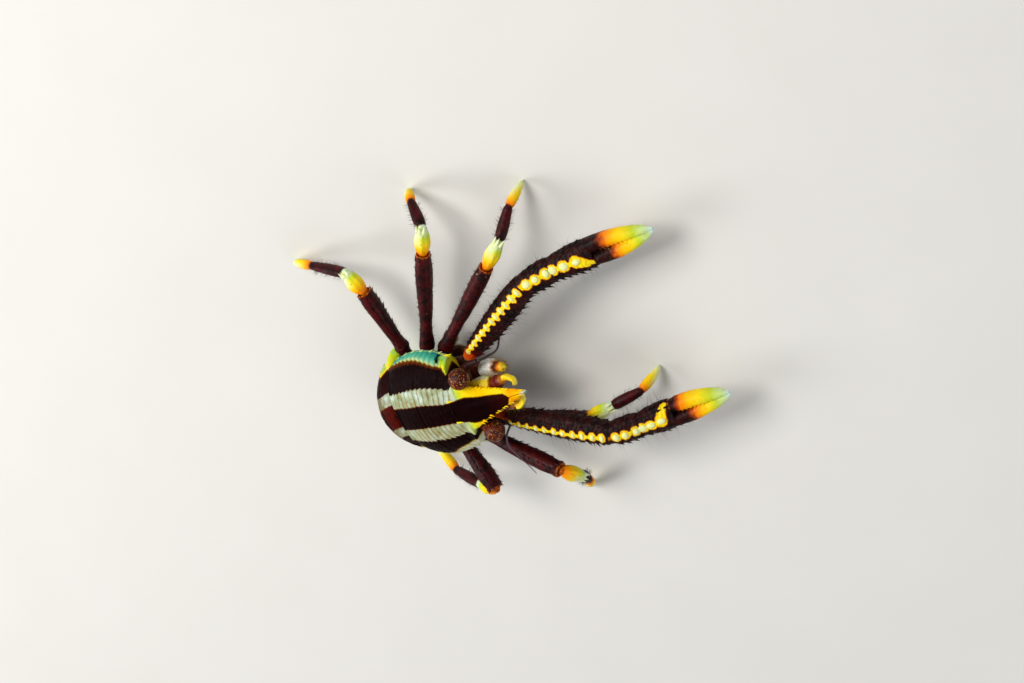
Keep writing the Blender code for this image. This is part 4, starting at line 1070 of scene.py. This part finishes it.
def build_tail():
    level = CURL_CENTRE[1] - CURL_RADIUS
    root = CURL_CENTRE[0] + sum(LAST_SOMITE_LENGTHS) + 0.15
    tip = root + TELSON_LENGTH
    outlines = {"telson": [(root, -1.5), (root, 1.5), (tip - 0.7, 1.32), (tip - 0.05, 0.7),
                           (tip - 0.05, -0.7), (tip - 0.7, -1.32)]}
    inner = [(root, 1.86), (root, 2.35), (tip - 0.9, 3.05), (tip - 0.1, 2.7), (tip + 0.05, 2.1),
             (tip - 0.5, 1.74)]
    outer = [(root, 2.68), (root + 0.05, 3.4), (root + 1.0, 4.45), (tip - 0.9, 4.6), (tip - 0.4, 3.9),
             (tip - 0.95, 3.42)]
    for side_name, side in SIDES.items():
        outlines["uropod_inner_" + side_name] = [(x, y * side) for x, y in inner]
        outlines["uropod_outer_" + side_name] = [(x, y * side) for x, y in outer]
    bristles = Bristles(3)
    for order, (node, outline) in enumerate(outlines.items()):
        grid, ring, middle = plate_grid(outline, level, 0.42)
        reach = (grid[..., 0] - root) / TELSON_LENGTH
        ribs = np.sin(np.arctan2(grid[..., 1] - middle[1], grid[..., 0] - root + 1.2) * 26.0)
        height = 0.02 * ribs + 0.02 * noise(grid, 0.3, 31 + order)
        surface = Surface()
        surface.add_tube(raised(body(grid), height), reach)
        surface.finish(node + "_skin", "tail", "tail_fan", node)
        fringe = ring[ring[:, 0] > root + 0.9]
        fringe = np.repeat(fringe, 14, axis=0) + bristles.random.normal(0, 0.02, (len(fringe) * 14, 2))
        outward = unit(fringe - (middle - np.array((0.8, 0.0))))
        outward = np.column_stack((outward, np.zeros(len(outward))))
        inside = np.column_stack((fringe, np.full(len(fringe), level))) - outward * 0.08
        strip = (order + 0.1 + 0.8 * (fringe[:, 0] - root) / 3.0) / 5.0
        places = np.stack((strip, 0.5 + fringe[:, 1] / 12.0), axis=-1)
        bristles.add(body(inside), body_direction(outward), 0.42, places, 0.7, radius=0.014, bend=0.1,
                     spread=0.06)
    bristles.finish("bristles_tail", "tail_fan")


# Underside

def build_thorax():
    """Breastplate with grooves between its plates, and the short first articles of the legs."""
    surface = Surface()
    x = np.linspace(THORAX_OUTLINE[0][0], THORAX_OUTLINE[-1][0], 120)
    half_width, top, bottom = np.moveaxis(smooth_rows(THORAX_OUTLINE, x), -1, 0)
    angle = np.linspace(0.0, 2 * np.pi, 96, endpoint=False)
    c, s = np.cos(angle), np.sin(angle)
    y = half_width[:, None] * np.sign(c) * np.abs(c) ** 0.55
    middle, depth = (top + bottom) / 2, (top - bottom) / 2
    z = middle[:, None] + depth[:, None] * np.sign(s) * np.abs(s) ** 0.55
    grid = np.stack((np.repeat(x[:, None], len(angle), axis=1), y, z), axis=-1)
    groove = sum(hump(grid[..., 0] - 0.10 * np.abs(y), place, 0.10) for place in PLATE_GROOVES)
    groove = groove + 0.8 * hump(y, 0.0, 0.09)
    height = -0.12 * groove + 0.03 * noise(grid, 0.5, 41)
    surface.add_tube(raised(body(grid), height), 0.5, 0.0, np.clip(groove, 0, 1) * 0.6)
    for leg, (x, y, z) in LEG_ROOTS.items():
        for side_name, side in SIDES.items():
            root = body((x, y * side, z))
            base = body(LEG_BASES[leg + "_" + side_name])
            path = root + (base - root) * np.linspace(0.0, 1.02, 17)[:, None]
            place = np.linspace(0.0, 1.0, len(path))
            joint = hump(place, 0.55, 0.08)
            radii = STUB_RADIUS * (1.08 - 0.12 * place - 0.14 * joint) * np.sqrt(1.0 - place ** 14 * 0.6)
            surface.add_tube(path_grid(path, radii, 32), 0.5, 1.0)
    surface.finish("breast_skin", "under", "underside_shell", "thorax")


def path_grid(points, radii, columns, flatness=1.0):
    """Rings across a curved path."""
    points = np.asarray(points)
    along = unit(np.gradient(points, axis=0))
    side = unit(np.cross(UP, along[0]))
    angle = 2 * np.pi * np.arange(columns)[:, None] / columns
    c, s = np.cos(angle), np.sin(angle)
    radii = np.broadcast_to(radii, len(points))
    rings = []
    for point, direction, radius in zip(points, along, radii):
        side = unit(side - direction * side.dot(direction))
        above = np.cross(direction, side)
        rings.append(point + radius * (side * c + above * s * flatness))
    return np.array(rings)


# Eyes, feelers and mouth limbs

def build_eye(side_name):
    side = SIDES[side_name]
    centre = mirrored(EYE_AT[side_name], side)
    foot = mirrored(EYESTALK_FROM, side)
    axis = unit(centre - foot)
    across = unit(np.cross(UP, axis))
    above = np.cross(axis, across)
    polar = np.linspace(np.pi, 0.0, 60)[1:-1]
    turn = 2 * np.pi * np.arange(80) / 80
    radius = EYE_RADIUS * (1.0 - 0.03 * np.cos(polar) ** 2)
    around = np.cos(turn)[:, None] * across + np.sin(turn)[:, None] * above
    grid = (centre + (radius * np.cos(polar))[:, None, None] * axis
            + (radius * np.sin(polar))[:, None, None] * around)
    surface = Surface()
    surface.add_tube(grid, 1.0)
    surface.finish("eye_ball_" + side_name, "eye", "eye", "eye_" + side_name)
    stalk = Surface()
    length = np.linalg.norm(centre - foot) - 0.35
    path = foot + axis * np.linspace(0.0, length, 24)[:, None]
    share = np.linspace(0.0, 1.0, 24)
    stalk.add_tube(path_grid(path, 0.46 + 0.24 * share ** 2, 48), 0.33 + 0.2 * share[:, None], 0.0, 0.2)
    stalk.finish("eye_stalk_" + side_name, "feeler", "feeler")
    bristles = Bristles(5 if side > 0 else 6)
    count = 46
    angle = bristles.random.uniform(0, 2 * np.pi, count)
    rim = (across * np.cos(angle)[:, None] + above * np.sin(angle)[:, None])
    roots = centre - axis * 0.42 + rim * 0.72
    places = np.stack((angle / 6.4, np.full(count, 0.5)), axis=-1)
    bristles.add(roots, rim + axis * 0.9, 0.3, places, 0.3, radius=0.015)
    bristles.finish("bristles_eye_" + side_name, "eye")


def add_chain(surface, points, joints, sizes, columns=40, tint=0.0, across=0.0):
    """A limb of articles along a path. Joints are shares of its length where it narrows.

    Sizes are its radii at shares of its length."""
    share = np.linspace(0.0, 1.0, len(points))
    radii = smooth_rows(sizes, share)[..., 0]
    for joint in joints:
        radii = radii * (1.0 - 0.22 * hump(share, joint, 0.012))
        radii = radii * (1.0 + 0.08 * hump(share, joint - 0.03, 0.02))
    grid = path_grid(points, radii, columns)
    surface.add_tube(raised(grid, 0.02 * noise(grid, 0.25, 51)), share[:, None], across, tint)
    return radii


def build_antennule(side_name):
    side = SIDES[side_name]
    points = smooth_path(mirrored(ANTENNULE_PATH, side), 26)
    surface = Surface()
    columns = 40
    angle = 2 * np.pi * np.arange(columns) / columns + (0.0 if side > 0 else np.pi)
    ridge = hump(half_turn(angle), 0.0, 0.30)
    place = np.linspace(0.0, 1.0, len(points))[:, None]
    ridge = ridge * smooth_step(0.05, 0.10, place) * (1.0 - smooth_step(0.26, 0.31, place))
    add_chain(surface, points, (0.33, 0.45, 0.56), ANTENNULE_SIZES, columns, across=ridge)
    tip = points[int(len(points) * 0.26)]
    for heading, rise in ((8, 12), (42, 2), (-20, -5)):
        turn, lift = math.radians(heading), math.radians(rise)
        direction = body_direction((math.cos(turn), side * math.sin(turn), math.sin(lift)))
        surface.add_cones(tip + direction * 0.42, direction, 0.42, 0.13, (0.1, 0.9, 0.0))
    dot = points[int(len(points) * 0.17)] + body_direction((0.10, 0.40 * side, 0.66))
    surface.add_cones(dot, body_direction((0.2, 0.6 * side, 1.0)), 0.10, 0.17, (0.4, 0.0, 0.9), sides=14,
                      rings=4)
    second = points[int(len(points) * 0.60):] + body_direction((0.0, 0.16 * side, 0.20))
    surface.add_tube(path_grid(second, np.linspace(0.20, 0.08, len(second)), 24), 0.8)
    surface.finish("antennule_skin_" + side_name, "feeler", "feeler", "antennule_" + side_name)
    bristles = Bristles(7 if side > 0 else 8)
    count = 90
    index = bristles.random.integers(int(len(points) * 0.7), len(points), count)
    outward = unit(bristles.random.normal(size=(count, 3)))
    places = np.stack((index / len(points) * 0.9, bristles.random.uniform(0.1, 0.9, count)), axis=-1)
    bristles.add(points[index], outward, 0.35, places, 0.4, radius=0.012)
    bristles.finish("bristles_antennule_" + side_name, "feeler")


def build_antenna(side_name):
    side = SIDES[side_name]
    points = smooth_path(mirrored(ANTENNA_PATH, side), 30)
    surface = Surface()
    add_chain(surface, points, (0.38, 0.7), ANTENNA_SIZES, tint=1.0)
    tip = points[int(len(points) * 0.38)]
    for heading in (15, -15):
        turn = math.radians(heading)
        direction = body_direction((math.cos(turn), side * math.sin(turn), 0.1))
        surface.add_cones(tip, direction, 0.62, 0.10, (0.2, 0.75, 1.0))
    surface.finish("antenna_skin_" + side_name, "feeler", "feeler", "antenna_" + side_name)
    flagellum = Surface()
    path = smooth_path(body(np.array(FLAGELLUM_PATHS[side_name])), 40)
    path = np.vstack((points[-1][None], path))
    share = np.linspace(0.0, 1.0, len(path))
    rings = np.abs(np.sin(share * len(path) * 0.7))
    radii = (0.115 - 0.08 * share) * (0.86 + 0.14 * rings)
    flagellum.add_tube(path_grid(path, radii, 14), share[:, None], 0.0, (rings[:, None] < 0.3) * 0.6)
    flagellum.finish("flagellum_skin_" + side_name, "flagellum", "feeler", "flagellum_" + side_name)


def build_mouth_limb(side_name):
    side = SIDES[side_name]
    points = smooth_path(mirrored(MOUTH_PATH, side), 26)
    surface = Surface()
    radii = add_chain(surface, points, (0.06, 0.60, 0.74), MOUTH_SIZES)
    surface.finish("mouth_limb_skin_" + side_name, "mouth", "mouth_limb", "maxilliped_" + side_name)
    bristles = Bristles(9 if side > 0 else 10)
    count = 420
    index = bristles.random.integers(int(len(points) * 0.25), len(points), count)
    along = unit(np.gradient(points, axis=0))[index]
    outward = unit(np.cross(along, bristles.random.normal(size=(count, 3))))
    places = np.stack((index / len(points) * 0.95, bristles.random.uniform(0.05, 0.95, count)), axis=-1)
    bristles.add(points[index] + outward * radii[index, None] * 0.9, outward + along * 0.7, 0.55, places,
                 0.35, radius=0.014)
    bristles.finish("bristles_mouth_" + side_name, "mouth_limb")


def build_fifth_leg(side_name):
    side = SIDES[side_name]
    points = smooth_path(mirrored(FIFTH_LEG_PATH, side), 30)
    surface = Surface()
    add_chain(surface, points, (0.35, 0.66), FIFTH_LEG_SIZES, columns=28)
    surface.finish("fifth_leg_skin_" + side_name, "leg", "leg_shell", "leg5_" + side_name)


# Legs and claws

# The section of an article is an ellipse that is a little square. Its end is a shallow cup, given by
# places beyond the end in millimetres and by sizes as shares of the rim
SECTION_POWER = 2.0 / 2.3
CUP_PLACES = (0.0, 0.01, -0.03, -0.10, -0.16)
CUP_SIZES = (1.0, 0.93, 0.84, 0.7, 0.4)
# How many degrees the spines of the limbs lean towards an article's end
SPINE_LEAN = 50.0


def leg_joints(leg, side_name):
    """The joints of a leg from its base to its tip, and each article's direction."""
    joints = [body(LEG_BASES[leg + "_" + side_name])]
    directions = []
    for entry in POSE[leg + "_" + side_name]:
        if len(entry) == 3:
            heading, rise, length = entry
        else:
            heading, length = entry
            rise = -math.degrees(math.asin(joints[-1][2] / length))
        directions.append(heading_vector(heading, rise))
        joints.append(joints[-1] + directions[-1] * length)
    return joints, directions


class Article:
    """One article of a limb, with a smooth section along its length."""

    def __init__(self, start, end, side, profile, outward):
        self.start = start
        self.length = np.linalg.norm(end - start)
        self.direction = (end - start) / self.length
        self.side = unit(side - self.direction * side.dot(self.direction))
        self.above = np.cross(self.direction, self.side)
        self.profile = profile
        self.outward = outward

    def turn(self, angle):
        """An angle with 0 on the inner side, 90 above and 180 on the outer side, as radians."""
        angle = np.radians(angle)
        return angle if self.outward < 0 else np.pi - angle

    def place(self, fraction, turn, swell=1.0):
        """Points on the surface at shares of the length and at angles."""
        half_width, half_depth, bow = np.moveaxis(smooth_rows(self.profile, fraction), -1, 0)
        c, s = np.cos(turn), np.sin(turn)
        wide = np.sign(c) * np.abs(c) ** SECTION_POWER * half_width * swell
        deep = np.sign(s) * np.abs(s) ** SECTION_POWER * half_depth * swell
        wide, deep, bow, fraction = np.broadcast_arrays(wide, deep, bow, fraction)
        centre = self.start + self.direction * (self.length * fraction)[..., None]
        return centre + self.side * wide[..., None] + self.above * (deep + bow)[..., None]

    def away(self, turn):
        c, s = np.cos(turn)[..., None], np.sin(turn)[..., None]
        return unit(self.side * c + self.above * s)

    def leaning(self, turn, lean):
        """Directions away from the surface that lean towards the article's end."""
        lean = math.radians(lean)
        return self.away(turn) * math.cos(lean) + self.direction * math.sin(lean)

    def grid(self, columns, step, ball=0.88, rim=1.0, tip=False):
        """A ball in the joint before it, the article, and a cup or a tip."""
        base = self.profile[0][1] * ball
        angle = np.linspace(0.0, np.pi / 2, 9)[:-1]
        knob = -base * np.cos(angle)
        body_part = np.arange(0.0, self.length, step)
        place = np.concatenate((knob[1:], body_part))
        rising = ball + (1.0 - ball) * smooth_step(0.0, 0.45, body_part)
        swell = np.concatenate((ball * np.sin(angle)[1:], rising))
        if tip:
            place = np.append(place, self.length)
            swell = np.append(swell, 1.0)
        else:
            swell = swell * (1.0 + (rim - 1.0) * smooth_step(self.length - 0.35, self.length - 0.05, place))
            place = np.concatenate((place, self.length + np.array(CUP_PLACES)))
            swell = np.concatenate((swell, rim * np.array(CUP_SIZES)))
        turn = 2 * np.pi * np.arange(columns) / columns
        fraction = np.clip(place / self.length, 0.0, 1.0)
        points = self.place(fraction[:, None], turn[None], swell[:, None])
        points = points + self.direction * (place - fraction * self.length)[:, None, None]
        return points, fraction[:, None], turn[None]


def scales(article, fraction, turn, pitch, depth, seed):
    """Low overlapping scales round an article, steep at their front."""
    row = fraction * article.length / pitch
    shift = 0.35 * np.sin(turn * 5.0 + np.floor(row) * 1.7)
    points = article.place(fraction, turn)
    phase = row + shift + 0.25 * noise(points, 0.6, seed)
    phase = phase - np.floor(phase)
    return depth * (stria_height(phase) - 0.5)


def limb_articles(leg, side_name, profiles, carried):
    """The articles of a limb. A carried side is handed on from one article to the next."""
    joints, directions = leg_joints(leg, side_name)
    level = unit(np.cross(UP, directions[0]))
    side = level
    articles = []
    for number, profile in enumerate(profiles):
        direction = directions[number]
        source = side if carried else level
        side = unit(source - direction * source.dot(direction))
        articles.append(Article(joints[number], joints[number + 1], side, profile, SIDES[side_name]))
    return articles


def add_article_spines(surface, random, article, number, angle, first, last, count, length, radius,
                       across=9.0):
    """A row of spines along an article that lean towards its end."""
    fraction = np.linspace(first, last, count) + random.uniform(-0.012, 0.012, count)
    turn = article.turn(angle + random.uniform(-6.0, 6.0, count))
    roots = article.place(fraction, turn)
    directions = article.leaning(turn, SPINE_LEAN)
    lengths = length * random.uniform(0.7, 1.15, count)
    values = np.column_stack((number + fraction, np.full(count, across), np.zeros(count)))
    sink = 0.16
    surface.add_cones(roots - directions * sink, directions, lengths + sink, radius, values,
                      bend=article.direction * (lengths * 0.12)[:, None])


def add_rim_spines(surface, random, article, number, angles, length, radius, across=9.0):
    """Spines round the end of an article that point over the next one."""
    turn = article.turn(np.array(angles, dtype=float))
    roots = article.place(np.full(len(turn), 0.965), turn, 0.98)
    directions = article.direction + article.away(turn) * 0.18
    values = (number + 0.97, across, 0.0)
    lengths = length * random.uniform(0.8, 1.1, len(turn))
    surface.add_cones(roots - unit(directions) * 0.15, directions, lengths + 0.15, radius, values)


def article_bristles(bristles, article, number, count, length, radius, angles=None, pale=0.0, lean=30.0):
    """Bristles along rows at some angles, or scattered all round where none is given."""
    random = bristles.random
    fraction = random.uniform(0.04, 0.98, count)
    if angles is None:
        angle = random.uniform(0.0, 360.0, count)
    else:
        angle = random.choice(angles, count) + random.normal(0.0, 7.0, count)
    turn = article.turn(angle)
    roots = article.place(fraction, turn)
    directions = article.leaning(turn, lean)
    places = np.stack((0.02 + (angle % 360.0) / 360.0 * 0.94, (number + fraction) / 4.2), axis=-1)
    pale_share = pale(number + fraction) if callable(pale) else pale
    bristles.add(roots, directions, length, places, pale_share, radius=radius)


WALKING_PROFILES = (MERUS, CARPUS, PROPODUS, DACTYL)
WALKING_WORDS = ("merus", "carpus", "propodus", "dactyl")
# Rows of spines: angle, first and last place, how many, length and radius
MERUS_SPINES = ((72, 0.12, 0.94, 12, 0.36, 0.12), (-50, 0.35, 0.94, 8, 0.30, 0.11),
                (170, 0.2, 0.92, 10, 0.22, 0.10))
# For each article how many bristles, their length and the angles of their rows
WALKING_BRISTLES = {
    "merus": (170, 0.36, (72, 180, -50, 0)),
    "carpus": (16, 0.22, None),
    "propodus": (120, 0.50, (0, 90, 180, -90)),
    "dactyl": (26, 0.25, (0, 180, -90)),
}


def build_walking_leg(leg, side_name, order):
    random = np.random.default_rng(SEED + 40 + order)
    articles = limb_articles(leg, side_name, WALKING_PROFILES, carried=True)
    bristles = Bristles(20 + order)
    for number, (word, article) in enumerate(zip(WALKING_WORDS, articles)):
        surface = Surface()
        last = word == "dactyl"
        is_long = word in ("merus", "propodus")
        grid, fraction, turn = article.grid(48, 0.06, tip=last, rim=1.05 if word == "merus" else 1.0)
        depth = 0.030 if is_long else 0.012
        height = scales(article, fraction, turn, 0.42, depth, 60 + order) + 0.012 * noise(grid, 0.12, 61)
        if word == "carpus":
            height = height + 0.035 * np.cos(turn * 7.0) * np.sin(np.pi * fraction)
        if word == "merus":
            height = height + 0.05 * noise(grid, 1.4, 65 + order)
        height = height * smooth_step(0.0, 0.06, fraction) * (1.0 - smooth_step(0.95, 1.0, fraction))
        grid = raised(grid, height)
        grid[..., 2] = np.maximum(grid[..., 2], 0.0)
        pale_side = smooth_step(0.25, 0.8, np.cos(turn - article.turn(150)))
        surface.add_tube(grid, number + fraction, pale_side)
        if word == "merus":
            for row in MERUS_SPINES:
                add_article_spines(surface, random, article, number, *row)
            add_rim_spines(surface, random, article, number, (20, 62, 100, 150, 200, -50), 0.42, 0.12)
        if word == "carpus":
            add_article_spines(surface, random, article, number, 78, 0.25, 0.8, 3, 0.26, 0.13, across=1.0)
            add_rim_spines(surface, random, article, number, (96, 50, 140), 0.62, 0.20, across=1.0)
        if word == "propodus":
            add_article_spines(surface, random, article, number, -80, 0.2, 0.95, 7, 0.30, 0.05)
        if last:
            add_article_spines(surface, random, article, number, -88, 0.25, 0.85, 6, 0.14, 0.05)
        name = leg + "_" + side_name + "_" + word
        surface.finish(name + "_skin", "leg", "leg_shell" if is_long else "leg_joint", name)
        count, length, angles = WALKING_BRISTLES[word]
        article_bristles(bristles, article, number, count, length, 0.013, angles, 0.0 if is_long else 0.8)
        if is_long:
            article_bristles(bristles, article, number, count // 2, length * 0.5, 0.012)
    bristles.finish("bristles_" + leg + "_" + side_name, "leg_shell")


# The row of pale beads along a claw: for each article its angle at the base and end, its first
# and last place, how many beads, and their half-lengths and half-widths at the base and end
BEAD_ROWS = (
    (118, 96, 0.07, 0.95, 12, (0.13, 0.20), (0.23, 0.35)),
    (94, 92, 0.16, 0.84, 3, (0.37, 0.35), (0.34, 0.33)),
    (92, 86, 0.07, 0.64, 3, (0.42, 0.34), (0.48, 0.30)),
)
BEAD_RIM = 0.12
LINE_WIDTH = 0.17
# The wedge that ends the row on the palm: how far it runs on, and how far inwards, on each claw
WEDGES = {"left": (1.45, 0.80), "right": (0.72, 1.45)}
# Rows of spines of each article: angle, first and last place, how many and length
CLAW_SPINES = (((10, 0.10, 0.95, 12, 0.50), (42, 0.16, 0.95, 10, 0.34), (-30, 0.2, 0.95, 9, 0.36),
                (160, 0.12, 0.95, 13, 0.38), (138, 0.2, 0.95, 10, 0.24), (66, 0.3, 0.95, 8, 0.26)),
               ((12, 0.18, 0.9, 4, 0.50), (48, 0.2, 0.9, 3, 0.34), (160, 0.18, 0.9, 4, 0.42),
                (132, 0.25, 0.9, 3, 0.26)), ((10, 0.12, 0.9, 6, 0.46), (44, 0.15, 0.9, 5, 0.30),
                                             (168, 0.12, 0.95, 6, 0.38), (138, 0.2, 0.95, 5, 0.26)),)
# How many bristles each article has
CLAW_BRISTLES = (380, 100, 140)
# How far along a finger its dark root reaches: the fixed finger, then the moving one
DARK_ROOTS = {"left": (0.14, 0.25), "right": (0.22, 0.06)}


def bead_spots(article, number, random):
    """Each bead's place along the article in millimetres, angle round it, and half-sizes."""
    start, end, first, last, count, small, large = BEAD_ROWS[number]
    spots = []
    for step in range(count):
        share = step / (count - 1)
        fraction = first + (last - first) * share ** 1.10 + random.uniform(-0.006, 0.006)
        turn = float(article.turn(start + (end - start) * fraction))
        along, across = (low + (high - low) * share for low, high in zip(small, large))
        along, across = along * random.uniform(0.8, 1.12), across * random.uniform(0.9, 1.15)
        spots.append((fraction * article.length, turn, along, across))
    return spots


def band_value(article, number, fraction, turn, spots, side_name):
    """Distance from the beads and the line through them, as a share of their yellow rim."""
    start, end, first, last = BEAD_ROWS[number][:4]
    half_width = smooth_rows(article.profile, fraction)[..., 0]
    place = fraction * article.length
    value = np.full(np.broadcast(fraction, turn).shape, 9.0)
    for spot, angle, along, across in spots:
        gap = half_turn(turn - angle) * half_width
        near = ((place - spot) / (along + BEAD_RIM)) ** 2 + (gap / (across + BEAD_RIM)) ** 2
        value = np.minimum(value, np.sqrt(near))
    centre = article.turn(start + (end - start) * fraction)
    gap = half_turn(turn - centre) * half_width
    in_row = (fraction > first - 0.02) & (fraction < last + (0.0, 0.10, 0.0)[number])
    value = np.where(in_row, np.minimum(value, np.abs(gap) / LINE_WIDTH), value)
    if number == 2:
        inward = gap * (1.0 if article.outward < 0 else -1.0)
        run, reach = WEDGES[side_name]
        ahead = place - last * article.length
        share = np.clip((ahead * run + inward * -reach) / (run ** 2 + reach ** 2), 0.0, 1.0)
        distance = np.hypot(ahead - run * share, inward + reach * share)
        value = np.minimum(value, distance / (0.52 - 0.22 * share))
    return value


def add_beads(surface, article, number, spots):
    """Pale flattened beads in a row, each leaning a little towards the claw's end."""
    for spot, turn, half_length, half_width in spots:
        fraction = spot / article.length
        centre = article.place(np.array(fraction), np.array(turn), 0.96)
        away = article.away(np.array(turn))
        along = unit(article.direction * 0.98 + away * 0.10)
        across = np.cross(away, along)
        polar = np.linspace(np.pi, 0.0, 16)[1:-1]
        around = 2 * np.pi * np.arange(24) / 24
        rise = np.sin(around)[:, None] * unit(away) * 0.17
        grid = (centre + (half_length * np.cos(polar))[:, None, None] * along
                + np.sin(polar)[:, None, None] * (np.cos(around)[:, None] * across * half_width + rise))
        surface.add_tube(grid, number + fraction, 0.0, 1.0)


def add_finger(surface, article, inward, dark_root):
    """One finger: bowed, closing on the other at its tip, with low teeth on its inner edge."""
    grid, fraction, _ = article.grid(40, 0.05, ball=0.9, tip=True)
    spread = FINGER_SPREAD + (FINGER_MEET - FINGER_SPREAD) * fraction ** 2.6
    grid = grid - inward * spread[..., None]
    teeth = np.clip((grid - grid.mean(axis=1, keepdims=True)) @ inward / 0.5, 0.0, 1.0) ** 4
    grid = grid + inward * (teeth * 0.05 * np.sin(fraction * article.length * 16.0))[..., None]
    height = 0.014 * noise(grid, 0.2, 71) + 0.02 * noise(grid, 0.6, 72)
    grid = raised(grid, height)
    root = dark_root * (1.0 - smooth_step(dark_root + 0.1, 0.9, fraction))
    surface.add_tube(grid, 3.0 + np.clip(fraction - root + 0.06 * (1.0 - fraction), 0.0, 1.0), 9.0)


def build_claw(side_name, order):
    random = np.random.default_rng(SEED + 80 + order)
    outward = SIDES[side_name]
    articles = limb_articles("claw", side_name, (CLAW_ARM, CLAW_WRIST, PALM, FINGER), carried=False)
    bristles = Bristles(40 + order)
    hand = articles[3]
    lateral = hand.side * outward
    reach = hand.direction * hand.length
    fixed_root, moving_root = DARK_ROOTS[side_name]
    for number, word in enumerate(("arm", "wrist", "palm")):
        article = articles[number]
        surface = Surface()
        grid, fraction, turn = article.grid(96, 0.05, ball=0.98)
        fade = smooth_step(0.0, 0.05, fraction) * (1.0 - smooth_step(0.96, 1.0, fraction))
        height = scales(article, fraction, turn, 0.5, 0.07, 81 + number) + 0.03 * noise(grid, 0.25, 82)
        grid = raised(grid, height * fade)
        spots = bead_spots(article, number, random)
        value = band_value(article, number, fraction, turn, spots, side_name)
        along = number + fraction * 0.999
        if word == "palm":
            outer = smooth_step(0.2, 0.8, np.cos(turn) * outward)
            inner = smooth_step(0.2, 0.8, -np.cos(turn) * outward)
            early = outer * (fixed_root < 0.1) + inner * (moving_root < 0.1)
            along = along + 0.16 * early * smooth_step(0.93, 1.0, fraction)
        surface.add_tube(grid, along, value)
        for row in CLAW_SPINES[number]:
            add_article_spines(surface, random, article, number, *row, 0.15)
        add_rim_spines(surface, random, article, number, (10, 40, 130, 165), 0.40, 0.14)
        add_beads(surface, article, number, spots)
        if word == "palm":
            fixed = Article(hand.start - hand.direction * FINGER_SINK, hand.start + reach, hand.side, FINGER,
                            outward)
            add_finger(surface, fixed, -lateral, fixed_root + 0.10)
        name = "claw_" + side_name + "_" + word
        surface.finish(name + "_skin", "claw", "claw_shell", name)
        count = CLAW_BRISTLES[number]
        article_bristles(bristles, article, number, count, 0.36, 0.013, lean=25.0)
        article_bristles(bristles, article, number, count // 4, 0.62, 0.013, (5, 172, -20), lean=20.0)
        article_bristles(bristles, article, number, count // 16, 1.35, 0.012, (5, -20, 172), lean=12.0)
    surface = Surface()
    moving = Article(hand.start + hand.direction * 0.1, hand.start + reach * 0.995, hand.side, FINGER,
                     outward)
    add_finger(surface, moving, lateral, moving_root)
    name = "claw_" + side_name + "_finger"
    surface.finish(name + "_skin", "claw", "claw_finger", name)
    for shift in (lateral, -lateral):
        finger = Article(hand.start + shift * 0.5, hand.start + shift * 0.2 + reach * 0.96, hand.side,
                         FINGER, outward)
        article_bristles(bristles, finger, 3, 150, 0.55, 0.012, lean=35.0,
                         pale=lambda place: smooth_step(3.1, 3.4, place))
    bristles.finish("bristles_claw_" + side_name, "claw_shell")


# Floor, light and camera

FLOOR_HALF = 0.6
SENSOR_WIDTH = 36.0
# Square lights: place and size in millimetres, power and colour
LIGHTS = {
    "key_light": ((-70, 190, 240), 150, 0.78, (1.0, 0.98, 0.95)),
    "fill_light": ((180, -160, 160), 200, 0.27, (0.95, 0.97, 1.0)),
    "rim_light": ((-220, 30, 140), 120, 0.34, (1.0, 1.0, 1.0)),
}
LIGHTS_AIM = Vector((0.0, 0.0, 4.0))


def build_stage():
    mesh = bpy.data.meshes.new("floor")
    half = FLOOR_HALF
    mesh.from_pydata([(-half, -half, 0), (half, -half, 0), (half, half, 0), (-half, half, 0)], [],
                     [(0, 1, 2, 3)])
    floor = bpy.data.objects.new("floor", mesh)
    bpy.context.scene.collection.objects.link(floor)
    shader = Shader("floor_surface", roughness=0.75, specular=0.2)
    shader.colour(shader.mix(shader.noise(12.0), tone(214, 212, 206), tone(220, 218, 213)))
    mesh.materials.append(shader.material)


def add_light(name, place, size, power, colour):
    """A square light aimed at the middle of the model."""
    light = bpy.data.lights.new(name, "AREA")
    light.size = size * MM
    light.energy = power
    light.color = colour
    lamp = bpy.data.objects.new(name, light)
    lamp.location = Vector(place) * MM
    lamp.rotation_euler = (LIGHTS_AIM - Vector(place)).to_track_quat("-Z", "Y").to_euler()
    bpy.context.scene.collection.objects.link(lamp)


def build_light():
    for name, values in LIGHTS.items():
        add_light(name, *values)
    world = bpy.data.worlds.new("studio")
    world.use_nodes = True
    background = world.node_tree.nodes["Background"]
    background.inputs["Color"].default_value = (0.93, 0.95, 1.0, 1.0)
    background.inputs["Strength"].default_value = 0.24
    bpy.context.scene.world = world
    bpy.context.scene.view_settings.view_transform = "Standard"


def build_camera():
    camera = bpy.data.cameras.new("photo_camera")
    camera.lens = CAMERA_LENS
    camera.sensor_width = SENSOR_WIDTH
    camera.clip_start = 0.01
    item = bpy.data.objects.new("photo_camera", camera)
    bpy.context.scene.collection.objects.link(item)
    place = (CAMERA_AT - Vector(MIDDLE)) * MM
    item.matrix_world = Matrix.Translation(place) @ CAMERA_AXES.transposed().to_4x4()
    bpy.context.scene.camera = item


def build_animal():
    build_carapace()
    carapace_bristles()
    build_abdomen()
    build_tail()
    build_thorax()
    for order, side_name in enumerate(SIDES):
        build_eye(side_name)
        build_antennule(side_name)
        build_antenna(side_name)
        build_mouth_limb(side_name)
        build_fifth_leg(side_name)
        build_claw(side_name, order)
        for number, leg in enumerate(("leg2", "leg3", "leg4")):
            build_walking_leg(leg, side_name, order * 3 + number)


build_animal()
build_stage()
build_light()
build_camera()
